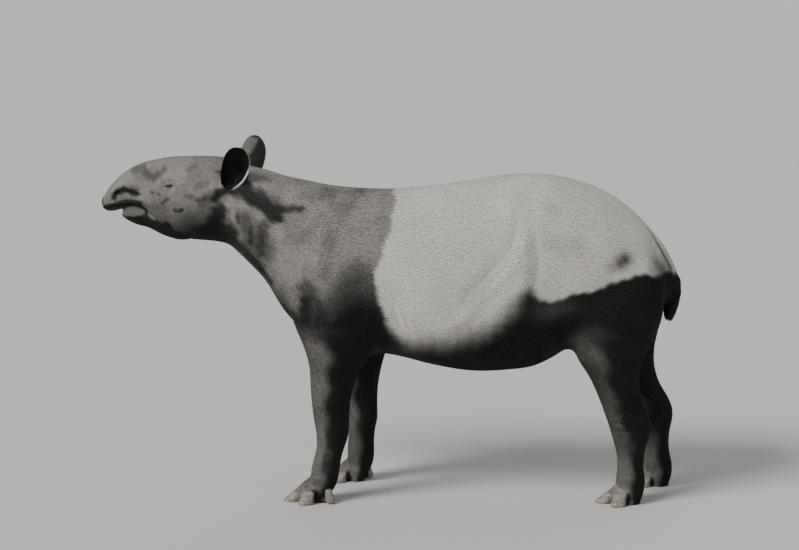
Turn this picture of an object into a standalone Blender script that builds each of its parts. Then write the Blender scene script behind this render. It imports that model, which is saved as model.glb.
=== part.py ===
"""A standing Malayan tapir at life size, as a still museum model.

Metres, +Z up. The head points along -X, the animal's left side faces -Y, and the soles stand on z = 0.
The flesh is lofted from stations along the body and legs, fused and smoothed as one skin, and then
parted by thin cuts into head, neck, torso, legs and feet. Ears, eyes, tail and hooves are set into it.
"""
import math

import bmesh
import bpy
import numpy as np
from mathutils import Matrix, Vector

# Driving sizes of the animal
SHOULDER_HEIGHT = 0.998
RUMP_HEIGHT = 1.046
BELLY_HEIGHT = 0.410
BARREL_HALF_WIDTH = 0.268
HEAD_HALF_WIDTH = 0.110
NOSE_TIP_X = -0.962
RUMP_END_X = 0.926

# How far apart touching pieces stand, and how fine the skin is
GAP = 0.0003
COARSE_VOXEL = 0.009
SKIN_VOXEL = 0.0045
RING_POINTS = 84
RING_SPACING = 0.012
PLAIN_TRIANGLES = 2450
DETAIL_TRIANGLES = 4300

# The head and neck turn to the animal's right, bending between these two places
TURN_START_X = -0.20
TURN_END_X = -0.52
HEAD_TURN = math.radians(11.0)

# Each station: x, top, bottom, half width, height of the widest line
TRUNK = (
    (-0.580, 1.040, 0.880, 0.050, 0.960),
    (-0.540, 1.066, 0.832, 0.086, 0.952),
    (-0.500, 1.074, 0.792, 0.100, 0.940),
    (-0.453, 1.066, 0.749, 0.107, 0.920),
    (-0.398, 1.054, 0.691, 0.118, 0.888),
    (-0.340, 1.036, 0.598, 0.140, 0.840),
    (-0.290, 1.026, 0.545, 0.166, 0.790),
    (-0.206, 1.009, 0.497, 0.203, 0.740),
    (-0.100, SHOULDER_HEIGHT, 0.472, 0.232, 0.710),
    (0.010, 0.997, 0.460, 0.248, 0.690),
    (0.150, 1.010, 0.427, 0.262, 0.680),
    (0.263, 1.026, BELLY_HEIGHT, BARREL_HALF_WIDTH, 0.680),
    (0.373, 1.043, 0.413, 0.266, 0.690),
    (0.468, RUMP_HEIGHT, 0.428, 0.256, 0.710),
    (0.545, 1.038, 0.468, 0.247, 0.730),
    (0.609, 1.023, 0.514, 0.239, 0.750),
    (0.674, 0.998, 0.530, 0.229, 0.750),
    (0.740, 0.959, 0.550, 0.207, 0.740),
    (0.796, 0.912, 0.566, 0.177, 0.730),
    (0.845, 0.859, 0.592, 0.141, 0.712),
    (0.880, 0.815, 0.628, 0.107, 0.708),
    (0.906, 0.769, 0.665, 0.070, 0.705),
    (RUMP_END_X, 0.722, 0.688, 0.030, 0.703),
)
SKULL = (
    (-0.450, 1.046, 0.860, 0.060, 0.968),
    (-0.480, 1.078, 0.822, 0.090, 0.968),
    (-0.520, 1.092, 0.811, 0.104, 0.970),
    (-0.560, 1.095, 0.817, HEAD_HALF_WIDTH, 0.972),
    (-0.610, 1.096, 0.820, 0.108, 0.979),
    (-0.660, 1.095, 0.823, 0.102, 0.983),
    (-0.710, 1.093, 0.834, 0.091, 0.983),
    (-0.758, 1.086, 0.858, 0.080, 0.979),
    (-0.800, 1.077, 0.904, 0.069, 0.976),
    (-0.842, 1.063, 0.925, 0.060, 0.973),
    (-0.884, 1.039, 0.920, 0.053, 0.969),
    (-0.916, 1.012, 0.909, 0.048, 0.957),
    (-0.943, 0.981, 0.906, 0.040, 0.940),
    (NOSE_TIP_X, 0.952, 0.913, 0.025, 0.930),
)
JAW = (
    (-0.630, 0.925, 0.835, 0.040, 0.880),
    (-0.670, 0.926, 0.820, 0.062, 0.872),
    (-0.740, 0.926, 0.830, 0.060, 0.874),
    (-0.800, 0.926, 0.856, 0.051, 0.888),
    (-0.850, 0.922, 0.868, 0.044, 0.897),
    (-0.879, 0.916, 0.882, 0.035, 0.899),
    (-0.895, 0.905, 0.891, 0.017, 0.898),
)
# What closes the mouth between the lips
MOUTH = (
    (-0.740, 0.946, 0.907, 0.050, 0.924),
    (-0.800, 0.944, 0.908, 0.046, 0.925),
    (-0.850, 0.942, 0.906, 0.037, 0.924),
    (-0.878, 0.936, 0.904, 0.022, 0.920),
)
TRUNK_SQUARENESS = 2.2
HEAD_SQUARENESS = 2.25

# Each leg station: height, front edge x, rear edge x, half width, distance of its middle from the midline
FORELEG = (
    (0.800, -0.260, -0.050, 0.050, 0.150),
    (0.720, -0.292, -0.005, 0.078, 0.152),
    (0.640, -0.304, 0.005, 0.088, 0.150),
    (0.570, -0.289, -0.012, 0.088, 0.147),
    (0.500, -0.264, -0.045, 0.082, 0.145),
    (0.440, -0.250, -0.082, 0.072, 0.142),
    (0.400, -0.248, -0.100, 0.065, 0.140),
    (0.335, -0.245, -0.118, 0.057, 0.138),
    (0.270, -0.238, -0.124, 0.052, 0.137),
    (0.215, -0.230, -0.127, 0.053, 0.137),
    (0.172, -0.231, -0.141, 0.047, 0.137),
    (0.139, -0.239, -0.150, 0.045, 0.137),
    (0.107, -0.246, -0.155, 0.046, 0.137),
    (0.074, -0.250, -0.160, 0.048, 0.137),
    (0.045, -0.253, -0.171, 0.047, 0.137),
    (0.020, -0.252, -0.188, 0.041, 0.137),
    (0.006, -0.248, -0.198, 0.035, 0.137),
)
HINDLEG = (
    (0.830, 0.610, 0.810, 0.060, 0.110),
    (0.760, 0.580, 0.850, 0.084, 0.120),
    (0.680, 0.562, 0.868, 0.098, 0.126),
    (0.600, 0.563, 0.858, 0.099, 0.127),
    (0.530, 0.574, 0.839, 0.093, 0.126),
    (0.470, 0.600, 0.811, 0.081, 0.124),
    (0.410, 0.638, 0.798, 0.069, 0.122),
    (0.340, 0.670, 0.808, 0.058, 0.120),
    (0.300, 0.685, 0.827, 0.054, 0.119),
    (0.262, 0.699, 0.838, 0.052, 0.118),
    (0.230, 0.709, 0.836, 0.049, 0.118),
    (0.190, 0.721, 0.825, 0.046, 0.118),
    (0.150, 0.730, 0.818, 0.045, 0.118),
    (0.110, 0.731, 0.818, 0.046, 0.118),
    (0.080, 0.728, 0.822, 0.049, 0.118),
    (0.050, 0.728, 0.821, 0.048, 0.118),
    (0.022, 0.733, 0.815, 0.043, 0.118),
    (0.006, 0.740, 0.808, 0.037, 0.118),
)
LEG_SQUARENESS = 2.15

# How far each leg is set back from the station tables, by height
LEG_SETBACKS = {
    "front_left": ((0.0, 0.000), (0.9, 0.000)),
    "front_right": (
        (0.0, 0.104), (0.10, 0.096), (0.20, 0.080), (0.40, 0.068), (0.60, 0.030), (0.9, 0.000),
    ),
    "hind_left": ((0.0, 0.000), (0.9, 0.000)),
    "hind_right": (
        (0.0, 0.113), (0.05, 0.111), (0.12, 0.104), (0.25, 0.092), (0.45, 0.061), (0.60, 0.022), (0.9, 0.000),
    ),
}
SIDES = {"front_left": -1, "front_right": 1, "hind_left": -1, "hind_right": 1}

# Each toe: name, bearing out from straight ahead, reach to the hoof tip, hoof width, length, height,
# and how far its tip stands off the ground
FOREFOOT_HEEL = (-0.226, 0.137)
FOREFOOT_TOES = (
    ("middle", 4.0, 0.121, 0.043, 0.070, 0.034, 0.0),
    ("inner", -35.0, 0.098, 0.037, 0.056, 0.034, 0.0),
    ("outer", 52.0, 0.095, 0.048, 0.062, 0.041, 0.0),
    ("little", 138.0, 0.076, 0.029, 0.034, 0.046, 0.005),
)
HINDFOOT_HEEL = (0.770, 0.118)
HINDFOOT_TOES = (
    ("middle", 2.0, 0.116, 0.044, 0.068, 0.035, 0.0),
    ("inner", -37.0, 0.092, 0.038, 0.054, 0.035, 0.0),
    ("outer", 51.0, 0.094, 0.047, 0.061, 0.041, 0.0),
)

# The flesh of a toe: share of its reach, height of its middle, share of the hoof width, half thickness
TOE_RINGS = (
    (0.06, 0.052, 0.56, 0.042),
    (0.24, 0.042, 0.58, 0.034),
    (0.40, 0.032, 0.56, 0.026),
    (0.54, 0.023, 0.50, 0.018),
    (0.66, 0.014, 0.36, 0.009),
)

# Head fittings, given as if the head pointed straight ahead
EYE_RADIUS = 0.0165
EYE_CENTRE = (-0.697, 0.0802, 1.003)
# Ears, as posed: the near one turns its cup to the side, the far one stands up and faces away
EARS = {
    "left_ear": {
        "root": (-0.522, -0.046, 0.996), "tip": (-0.462, -0.124, 1.130),
        "opening": (-0.10, -0.99, 0.02), "width": 0.090, "lean_back": 0.028,
    },
    "right_ear": {
        "root": (-0.485, 0.106, 1.000), "tip": (-0.447, 0.170, 1.151),
        "opening": (-0.45, 0.88, 0.05), "width": 0.089, "lean_back": 0.030,
    },
}
EAR_THICKNESS = 0.0055
# Along the ear: share of its length, share of its width, and how far the sheet curls round, in degrees
EAR_OUTLINE = (
    (0.00, 0.40, 150.0),
    (0.15, 0.62, 128.0),
    (0.35, 0.90, 88.0),
    (0.55, 1.00, 68.0),
    (0.75, 0.93, 56.0),
    (0.88, 0.74, 50.0),
    (0.96, 0.46, 48.0),
    (1.00, 0.20, 46.0),
)
EAR_STEPS = 10
EAR_ACROSS = 8
HOOF_POINTS = 12
# Up a hoof: share of its height, how far its outline is drawn in, and how far it leans back
HOOF_RINGS = ((0.0, 0.05, 0.0), (0.10, 0.0, 0.05), (0.55, 0.04, 0.48), (0.92, 0.13, 0.86), (1.0, 0.26, 0.94))

TAIL_PATH = (
    (0.862, 0.735), (0.891, 0.724), (0.907, 0.700), (0.910, 0.665), (0.906, 0.630), (0.900, 0.598),
    (0.897, 0.575),
)
TAIL_HALF_WIDTHS = (0.034, 0.037, 0.036, 0.034, 0.031, 0.026, 0.016)

# Muscles, hollows and folds: name, path of points on the surface, how wide it is, how far it lifts.
# All but those with a y of 0 are made on both sides.
BODY_STROKES = (
    (
        "shoulder blade",
        ((-0.120, 0.200, 0.860), (-0.190, 0.210, 0.740), (-0.240, 0.210, 0.640)), 0.120, 0.006,
    ),
    (
        "hollow behind the elbow",
        ((0.020, 0.250, 0.660), (0.010, 0.240, 0.580), (-0.010, 0.190, 0.490)), 0.080, -0.007,
    ),
    ("flank hollow", ((0.520, 0.250, 0.720), (0.530, 0.250, 0.620), (0.545, 0.210, 0.520)), 0.120, -0.008),
    (
        "rib edge",
        ((0.415, 0.262, 0.800), (0.402, 0.262, 0.700), (0.350, 0.255, 0.600), (0.270, 0.235, 0.520)),
        0.080, 0.0035,
    ),
    ("hip", ((0.500, 0.190, 0.970), (0.560, 0.200, 0.930)), 0.110, 0.005),
    ("buttock", ((0.800, 0.170, 0.740), (0.840, 0.150, 0.620)), 0.110, 0.006),
    (
        "throat groove",
        ((-0.545, 0.090, 0.950), (-0.520, 0.095, 0.880), (-0.490, 0.085, 0.810)), 0.055, -0.004,
    ),
    ("neck fold", ((-0.500, 0.100, 1.000), (-0.470, 0.112, 0.930), (-0.440, 0.105, 0.850)), 0.034, 0.003),
    ("second neck fold", ((-0.430, 0.112, 0.960), (-0.400, 0.120, 0.880)), 0.036, 0.0025),
    ("spine furrow", ((0.600, 0.0, 1.030), (0.250, 0.0, 1.027), (0.000, 0.0, 0.997)), 0.045, -0.003),
)
LEG_STROKES = (
    ("front", "forearm muscle", ((-0.170, 0.200, 0.440), (-0.175, 0.195, 0.350)), 0.060, 0.005),
    ("front", "elbow", ((-0.050, 0.180, 0.520), (-0.070, 0.180, 0.470)), 0.060, 0.006),
    ("front", "wrist", ((-0.220, 0.185, 0.225), (-0.180, 0.185, 0.215)), 0.045, 0.003),
    ("front", "cannon groove", ((-0.172, 0.182, 0.185), (-0.195, 0.182, 0.120)), 0.030, -0.003),
    ("hind", "second thigh", ((0.690, 0.200, 0.470), (0.725, 0.185, 0.370)), 0.075, 0.006),
    ("hind", "hock hollow", ((0.795, 0.170, 0.370), (0.800, 0.168, 0.300)), 0.034, -0.006),
    ("hind", "hock", ((0.745, 0.170, 0.260), (0.775, 0.170, 0.240)), 0.045, 0.004),
)
HEAD_STROKES = (
    ("cheek", ((-0.575, 0.105, 0.935), (-0.640, 0.100, 0.895)), 0.085, 0.009),
    ("temple", ((-0.590, 0.100, 1.030), (-0.640, 0.098, 1.034)), 0.050, -0.003),
    ("eye hollow", ((-0.697, 0.092, 1.003), (-0.699, 0.092, 1.003)), 0.026, -0.003),
    ("brow", ((-0.650, 0.095, 1.030), (-0.690, 0.090, 1.036), (-0.730, 0.074, 1.025)), 0.042, 0.003),
    ("cheek bone", ((-0.600, 0.108, 0.985), (-0.680, 0.098, 0.972), (-0.760, 0.078, 0.958)), 0.045, 0.003),
    (
        "nasal hollow",
        ((-0.768, 0.078, 1.036), (-0.820, 0.066, 1.020), (-0.858, 0.058, 1.008)), 0.050, -0.006,
    ),
    (
        "nostril fold",
        (
            (-0.812, 0.065, 0.966), (-0.842, 0.061, 0.976), (-0.872, 0.057, 0.981),
            (-0.896, 0.051, 0.972), (-0.910, 0.047, 0.952),
        ),
        0.015, -0.008,
    ),
    ("upper lip", ((-0.805, 0.063, 0.944), (-0.858, 0.058, 0.945), (-0.905, 0.049, 0.934)), 0.013, 0.003),
    ("mouth corner", ((-0.770, 0.068, 0.916), (-0.795, 0.064, 0.925)), 0.012, -0.008),
    ("lower lip", ((-0.815, 0.052, 0.902), (-0.858, 0.045, 0.902), (-0.880, 0.034, 0.899)), 0.014, 0.004),
    ("nose rim", ((-0.903, 0.0, 1.019), (-0.930, 0.0, 0.990), (-0.950, 0.0, 0.962)), 0.012, -0.004),
)
# Where the legs part from the torso: height, front x, rear x, inner and outer distance from the midline
FORELEG_CUT = (
    (-0.050, -0.420, 0.030, 0.004, 0.300),
    (0.380, -0.400, 0.030, 0.004, 0.300),
    (0.440, -0.370, 0.020, 0.024, 0.300),
    (0.500, -0.335, 0.000, 0.048, 0.300),
    (0.560, -0.300, -0.030, 0.072, 0.295),
    (0.610, -0.255, -0.070, 0.100, 0.285),
    (0.640, -0.200, -0.120, 0.140, 0.260),
)
HINDLEG_CUT = (
    (-0.050, 0.480, 1.020, 0.004, 0.300),
    (0.400, 0.500, 0.990, 0.004, 0.300),
    (0.460, 0.530, 0.960, 0.020, 0.300),
    (0.520, 0.560, 0.935, 0.040, 0.300),
    (0.590, 0.610, 0.900, 0.066, 0.300),
    (0.650, 0.665, 0.850, 0.095, 0.290),
    (0.690, 0.725, 0.790, 0.140, 0.260),
)
# The flat cuts: a point on the cut and the way it faces
HEAD_CUT = ((-0.475, 0.020, 0.940), (-0.912, 0.0, 0.410))
NECK_CUT = ((-0.250, 0.0, 0.790), (-0.923, 0.0, 0.385))
FOOT_TOP = 0.095
LEG_CUT_STEPS = 9
CUT_SOLVER = "MANIFOLD"
# The lids, as offsets along and above the eye, and the nostrils on the front of the snout
UPPER_LID = ((0.017, -0.001), (0.009, 0.007), (0.0, 0.009), (-0.009, 0.006), (-0.018, -0.004))
LOWER_LID = ((0.014, -0.006), (0.005, -0.011), (-0.006, -0.012), (-0.017, -0.007))
NOSTRIL = ((-0.956, 0.017, 0.946), (-0.961, 0.019, 0.930))


def curve_through(keys):
    """A smooth function through rows of a place and its values, with three-point slopes at the rows."""
    rows = np.array(sorted(keys), float)
    places, values = rows[:, 0], rows[:, 1:]
    slopes = np.gradient(values, places, axis=0)

    def at(where):
        where = np.clip(np.atleast_1d(where), places[0], places[-1])
        i = np.clip(np.searchsorted(places, where) - 1, 0, len(places) - 2)
        span = (places[i + 1] - places[i])[:, None]
        t = (where[:, None] - places[i][:, None]) / span
        return (
            values[i] * (2 * t**3 - 3 * t**2 + 1)
            + values[i + 1] * (3 * t**2 - 2 * t**3)
            + slopes[i] * span * (t**3 - 2 * t**2 + t)
            + slopes[i + 1] * span * (t**3 - t**2)
        )

    return at


def oval(centre, side, up, half_side, reach_up, reach_down, squareness):
    """One ring of points: a superellipse whose upper and lower halves may differ in height."""
    points = []
    for k in range(RING_POINTS):
        turn = 2 * math.pi * k / RING_POINTS
        across = math.copysign(abs(math.cos(turn)) ** (2 / squareness), math.cos(turn))
        along = math.copysign(abs(math.sin(turn)) ** (2 / squareness), math.sin(turn))
        reach = reach_up if along > 0 else reach_down
        points.append(centre + side * (across * half_side) + up * (along * reach))
    return points


def mesh_object(name, mesh):
    """Puts a bmesh in the scene as a named object, all in triangles so that every copy bends alike."""
    data = bpy.data.meshes.new(name)
    bmesh.ops.triangulate(mesh, faces=mesh.faces)
    bmesh.ops.recalc_face_normals(mesh, faces=mesh.faces)
    mesh.to_mesh(data)
    mesh.free()
    made = bpy.data.objects.new(name, data)
    bpy.context.scene.collection.objects.link(made)
    return made


def loft(name, rings):
    """A closed tube over rings of points that all have the same count."""
    mesh = bmesh.new()
    loops = [[mesh.verts.new(point) for point in ring] for ring in rings]
    for near, far in zip(loops, loops[1:]):
        for k in range(len(near)):
            mesh.faces.new((near[k], near[k - 1], far[k - 1], far[k]))
    mesh.faces.new(loops[0])
    mesh.faces.new(loops[-1])
    return mesh_object(name, mesh)


def lengthwise(name, stations, squareness):
    """A form along X from stations of x, top, bottom, half width and height of the widest line."""
    shape = curve_through(stations)
    start, end = min(s[0] for s in stations), max(s[0] for s in stations)
    rings = []
    for x in np.linspace(start, end, max(6, round((end - start) / RING_SPACING))):
        top, bottom, half_width, level = shape(x)[0]
        centre = Vector((x, 0, level))
        reaches = (half_width, top - level, level - bottom)
        rings.append(oval(centre, Vector((0, 1, 0)), Vector((0, 0, 1)), *reaches, squareness))
    return loft(name, rings)


def leg_place(leg, height):
    """How far a leg stands back from its station table at this height."""
    return float(curve_through(LEG_SETBACKS[leg])(height)[0][0])


def limb(leg):
    """A leg from the body to below the sole level."""
    stations = FORELEG if leg.startswith("front") else HINDLEG
    shape = curve_through(stations)
    below = 0.012
    rings = []
    for z in np.arange(-below, max(s[0] for s in stations), RING_SPACING):
        front, rear, half_width, spread = shape(z)[0]
        centre = Vector(((front + rear) / 2 + leg_place(leg, z), SIDES[leg] * spread, z))
        reaches = ((rear - front) / 2, half_width, half_width)
        rings.append(oval(centre, Vector((1, 0, 0)), Vector((0, 1, 0)), *reaches, LEG_SQUARENESS))
    return loft(leg + "_flesh", rings)


def toe_places(leg):
    """Each toe of a leg: name, heel point, heading, reach, its hoof's width, length, height and rise."""
    front = leg.startswith("front")
    heel_x, spread = FOREFOOT_HEEL if front else HINDFOOT_HEEL
    heel = Vector((heel_x + leg_place(leg, 0.0), SIDES[leg] * spread, 0))
    for name, bearing, reach, width, length, height, rise in FOREFOOT_TOES if front else HINDFOOT_TOES:
        turn = math.radians(bearing)
        heading = Vector((-math.cos(turn), SIDES[leg] * math.sin(turn), 0))
        yield name, heel, heading, reach, width, length, height, rise


def toe(leg, name, heel, heading, reach, width, length, height, rise):
    """The flesh of one toe, from inside the foot to inside its hoof."""
    across = heading.cross(Vector((0, 0, 1)))
    rings = []
    for share, level, widening, thickness in TOE_RINGS:
        centre = heel + heading * (reach * share) + Vector((0, 0, level + rise * share))
        reaches = (width * widening, thickness, level + 0.004)
        rings.append(oval(centre, across, Vector((0, 0, 1)), *reaches, LEG_SQUARENESS))
    return loft(f"{leg}_{name}_toe", rings)


def fuse(name, pieces, voxel):
    """Joins overlapping forms into one closed surface of even squares."""
    joined = bmesh.new()
    for piece in pieces:
        joined.from_mesh(piece.data)
        bpy.data.objects.remove(piece)
    made = mesh_object(name, joined)
    remesh = made.modifiers.new("one skin", "REMESH")
    remesh.mode = "VOXEL"
    remesh.voxel_size = voxel
    return settled(made)


def settled(made):
    """Applies an object's modifiers."""
    graph = bpy.context.evaluated_depsgraph_get()
    data = bpy.data.meshes.new_from_object(made.evaluated_get(graph))
    made.modifiers.clear()
    made.data = data
    return made


def in_triangles(made):
    """Splits every face of a piece into triangles."""
    mesh = bmesh.new()
    mesh.from_mesh(made.data)
    bmesh.ops.triangulate(mesh, faces=mesh.faces)
    mesh.to_mesh(made.data)
    mesh.free()
    return made


def points_of(made):
    points = np.empty(len(made.data.vertices) * 3)
    made.data.vertices.foreach_get("co", points)
    return points.reshape(-1, 3)


def set_points(made, points):
    made.data.vertices.foreach_set("co", points.ravel())
    made.data.update()


def normals_of(made):
    normals = np.empty(len(made.data.vertices) * 3, np.float32)
    made.data.vertex_normals.foreach_get("vector", normals)
    return normals.reshape(-1, 3).astype(float)


def smoothstep(low, high, values):
    t = np.clip((values - low) / (high - low), 0, 1)
    return t * t * (3 - 2 * t)


def neighbour_pull(made, points):
    """How far each point is from the middle of its neighbours."""
    pairs = np.empty(len(made.data.edges) * 2, np.int32)
    made.data.edges.foreach_get("vertices", pairs)
    a, b = pairs.reshape(-1, 2).T
    degree = np.bincount(np.concatenate([a, b]), minlength=len(points))
    pull = np.empty_like(points)
    for axis in range(3):
        total = np.bincount(a, points[b, axis], len(points)) + np.bincount(b, points[a, axis], len(points))
        pull[:, axis] = total / degree - points[:, axis]
    return pull


def relax(made, rounds, weight):
    """Evens out the surface without shrinking it, by the weight given for each point."""
    points = points_of(made)
    amount = weight(points)[:, None]
    for step in range(rounds):
        push = 0.55 if step % 2 == 0 else -0.56
        points = points + neighbour_pull(made, points) * (amount * push)
    set_points(made, points)


def fill_creases(made, rounds, weight):
    """Fills the hollow lines where forms meet, leaving the rounded parts where they are."""
    for step in range(rounds):
        if step % 10 == 0:
            points = points_of(made)
            normals = normals_of(made)
            amount = weight(points)[:, None]
        pull = neighbour_pull(made, points)
        outward = (pull * normals).sum(axis=1, keepdims=True)
        points = points + amount * 0.6 * (pull - np.minimum(outward, 0) * normals)
        if step % 10 == 9:
            set_points(made, points)
    set_points(made, points)


def distance_to_path(points, path):
    """How far each point is from a run of straight lines."""
    best = np.full(len(points), np.inf)
    for start, end in zip(path, path[1:]):
        along = end - start
        t = np.clip((points - start) @ along / max(along @ along, 1e-12), 0, 1)
        best = np.minimum(best, np.linalg.norm(points - start - t[:, None] * along, axis=1))
    return best


def stroke(made, path, reach, lift):
    """Lifts or presses the skin along a path, on both sides unless it is on the midline."""
    points = points_of(made)
    normals = normals_of(made)
    path = np.array(path, float)
    sides = (1.0,) if np.allclose(path[:, 1], 0) else (1.0, -1.0)
    for side in sides:
        there = path * (1.0, side, 1.0)
        near = np.all((points > there.min(0) - reach) & (points < there.max(0) + reach), axis=1)
        far = distance_to_path(points[near], there)
        fade = np.clip(1 - (far / reach) ** 2, 0, 1) ** 2
        points[near] += normals[near] * (lift * fade)[:, None]
    set_points(made, points)


def leg_stroke(made, kind, path, reach, lift):
    """A stroke on the outer side of each leg of a kind, set back with that leg."""
    points = points_of(made)
    normals = normals_of(made)
    for leg, side in SIDES.items():
        if not leg.startswith(kind):
            continue
        there = np.array([(x + leg_place(leg, z), side * y, z) for x, y, z in path])
        near = np.all((points > there.min(0) - reach) & (points < there.max(0) + reach), axis=1)
        fade = np.clip(1 - (distance_to_path(points[near], there) / reach) ** 2, 0, 1) ** 2
        points[near] += normals[near] * (lift * fade)[:, None]
    set_points(made, points)


def turned(points):
    """Bends the head and neck about an upright axis: straight ahead in, as posed out."""
    points = np.array(points, float)
    along = np.linspace(TURN_START_X, NOSE_TIP_X - 0.1, 240)
    angle = HEAD_TURN * smoothstep(TURN_START_X, TURN_END_X, along)
    steps = np.diff(along)
    middle = (angle[1:] + angle[:-1]) / 2
    line_x = TURN_START_X + np.concatenate([[0], np.cumsum(steps * np.cos(middle))])
    line_y = np.concatenate([[0], np.cumsum(-steps * np.sin(middle))])
    moving = points[:, 0] < TURN_START_X
    x = points[moving, 0]
    order = along[::-1]
    here_x, here_y, here = (np.interp(x, order, values[::-1]) for values in (line_x, line_y, angle))
    y = points[moving, 1]
    points[moving, 0] = here_x + y * np.sin(here)
    points[moving, 1] = here_y + y * np.cos(here)
    return points


def turn_object(made):
    """Poses a head piece that was modelled with the head straight ahead."""
    set_points(made, turned(points_of(made)))


def ear_sheet(name, ear):
    """A cupped ear from its rooted tube to its rounded tip."""
    root = Vector(ear["root"])
    axis = (Vector(ear["tip"]) - root).normalized()
    length = (Vector(ear["tip"]) - root).length
    opening = Vector(ear["opening"])
    opening = (opening - axis * opening.dot(axis)).normalized()
    side = axis.cross(opening)
    outline = curve_through(EAR_OUTLINE)
    mesh = bmesh.new()
    grid = []
    for step in range(EAR_STEPS + 1):
        share = math.sin(0.5 * math.pi * step / EAR_STEPS)
        width, curl = outline(share)[0]
        curl = math.radians(curl)
        radius = width * ear["width"] / (2 * math.sin(min(curl, math.pi / 2)))
        forward = radius * math.cos(min(curl, math.pi / 2)) - ear["lean_back"] * share * (1 - share)
        middle = root + axis * (length * share) + opening * forward
        row = []
        for k in range(EAR_ACROSS + 1):
            turn = curl * (2 * k / EAR_ACROSS - 1)
            around = side * math.sin(turn) - opening * math.cos(turn)
            row.append(mesh.verts.new(middle + around * radius))
        grid.append(row)
    for near, far in zip(grid, grid[1:]):
        for k in range(EAR_ACROSS):
            mesh.faces.new((near[k], near[k + 1], far[k + 1], far[k]))
    return mesh_object(name, mesh)


def thickened(made, thickness):
    """A sheet given an even thickness."""
    shell = made.modifiers.new("thickness", "SOLIDIFY")
    shell.thickness = thickness
    shell.offset = 0
    return in_triangles(settled(made))


def ball(name, centre, radius):
    """An eyeball, with its pole facing out sideways."""
    mesh = bmesh.new()
    bmesh.ops.create_uvsphere(mesh, u_segments=14, v_segments=9, radius=radius)
    bmesh.ops.rotate(mesh, verts=mesh.verts, matrix=Matrix.Rotation(math.pi / 2, 3, "X"))
    bmesh.ops.translate(mesh, verts=mesh.verts, vec=centre)
    return mesh_object(name, mesh)


def tube(name, path, half_widths):
    """A round form along a path in the upright middle plane."""
    points = [Vector((x, 0, z)) for x, z in path]
    rings = []
    for k, point in enumerate(points):
        ahead = (points[min(k + 1, len(points) - 1)] - points[max(k - 1, 0)]).normalized()
        across = Vector((0, 1, 0))
        reaches = (half_widths[k], half_widths[k] * 0.8, half_widths[k] * 0.8)
        rings.append(oval(point, across, across.cross(ahead), *reaches, 2.0)[::4])
    return loft(name, rings)


def hoof(name, heel, heading, reach, width, length, height, rise):
    """One hoof: a flat sole with a rounded point ahead, and walls leaning back to a sloping upper edge."""
    across = heading.cross(Vector((0, 0, 1)))
    middle = heel + heading * (reach - length * 0.55)
    rings = []
    for level, inset, back in HOOF_RINGS:
        ring = []
        for k in range(HOOF_POINTS):
            turn = 2 * math.pi * k / HOOF_POINTS
            ahead = math.cos(turn) * (0.45 if math.cos(turn) > 0 else 0.55) * length
            sideways = math.sin(turn) * 0.5 * width * (1 - 0.30 * abs(math.cos(turn)) ** 1.5)
            up = height * level * (1.0 if ahead > 0 else 1 - 0.35 * (-ahead / (0.55 * length)))
            ring.append(
                middle
                + heading * (ahead * (1 - inset) - back * length * (0.35 + 0.15 * math.cos(turn)))
                + across * (sideways * (1 - inset))
                + Vector((0, 0, up + rise))
            )
        rings.append(ring)
    return loft(name, rings)


def grown(made, name, amount):
    """A copy of a piece with its skin moved out."""
    copy = bpy.data.objects.new(name, made.data.copy())
    bpy.context.scene.collection.objects.link(copy)
    set_points(copy, points_of(copy) + normals_of(copy) * amount)
    return copy


def block(name, centre, half, turn):
    """A box, turned about its middle."""
    mesh = bmesh.new()
    bmesh.ops.create_cube(mesh, size=2)
    bmesh.ops.scale(mesh, verts=mesh.verts, vec=half)
    bmesh.ops.transform(mesh, verts=mesh.verts, matrix=Matrix.Translation(centre) @ turn)
    return mesh_object(name, mesh)


def only_largest(made):
    """Drops the loose scraps that a cut can leave beside a piece."""
    mesh = bmesh.new()
    mesh.from_mesh(made.data)
    left = set(mesh.verts)
    bodies = []
    while left:
        body = set()
        reached = [left.pop()]
        while reached:
            vert = reached.pop()
            body.add(vert)
            ahead = [edge.other_vert(vert) for edge in vert.link_edges]
            ahead = [other for other in ahead if other in left]
            left.difference_update(ahead)
            reached.extend(ahead)
        bodies.append(body)
    bodies.sort(key=len)
    scraps = [vert for body in bodies[:-1] for vert in body]
    bmesh.ops.delete(mesh, geom=scraps, context="VERTS")
    mesh.to_mesh(made.data)
    mesh.free()
    return made


def cut(made, cutter, operation):
    """Cuts a piece with another, and leaves the cutter for the next cut."""
    step = made.modifiers.new(operation.lower(), "BOOLEAN")
    step.operation = operation
    step.solver = CUT_SOLVER
    step.object = cutter
    return only_largest(in_triangles(settled(made)))


def copy_of(made, name):
    copy = bpy.data.objects.new(name, made.data.copy())
    bpy.context.scene.collection.objects.link(copy)
    return copy


def part_off(rest, name, cutter, wider):
    """Parts what lies inside the cutter from the rest, a gap apart."""
    piece = copy_of(rest, name)
    cut(piece, cutter, "INTERSECT")
    cut(rest, wider, "DIFFERENCE")
    CUTTERS.extend((cutter, wider))
    return piece


def leg_cutter(leg, amount):
    """A tall rounded form that takes one leg out of the body."""
    stations = FORELEG_CUT if leg.startswith("front") else HINDLEG_CUT
    shape = curve_through(stations)
    top = max(s[0] for s in stations)
    rings = []
    for step in range(LEG_CUT_STEPS + 1):
        z = -0.05 + (top + 0.05 - 0.0005) * math.sin(0.5 * math.pi * step / LEG_CUT_STEPS)
        front, rear, inner, outer = shape(z)[0]
        centre = Vector(((front + rear) / 2 + leg_place(leg, z), SIDES[leg] * (inner + outer) / 2, z))
        reaches = ((rear - front) / 2, (outer - inner) / 2, (outer - inner) / 2)
        rings.append(oval(centre, Vector((1, 0, 0)), Vector((0, 1, 0)), *reaches, TRUNK_SQUARENESS)[::6])
    made = loft(leg + ("_cut" if amount == 0 else "_wide_cut"), rings)
    set_points(made, points_of(made) + normals_of(made) * amount)
    return made


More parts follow.
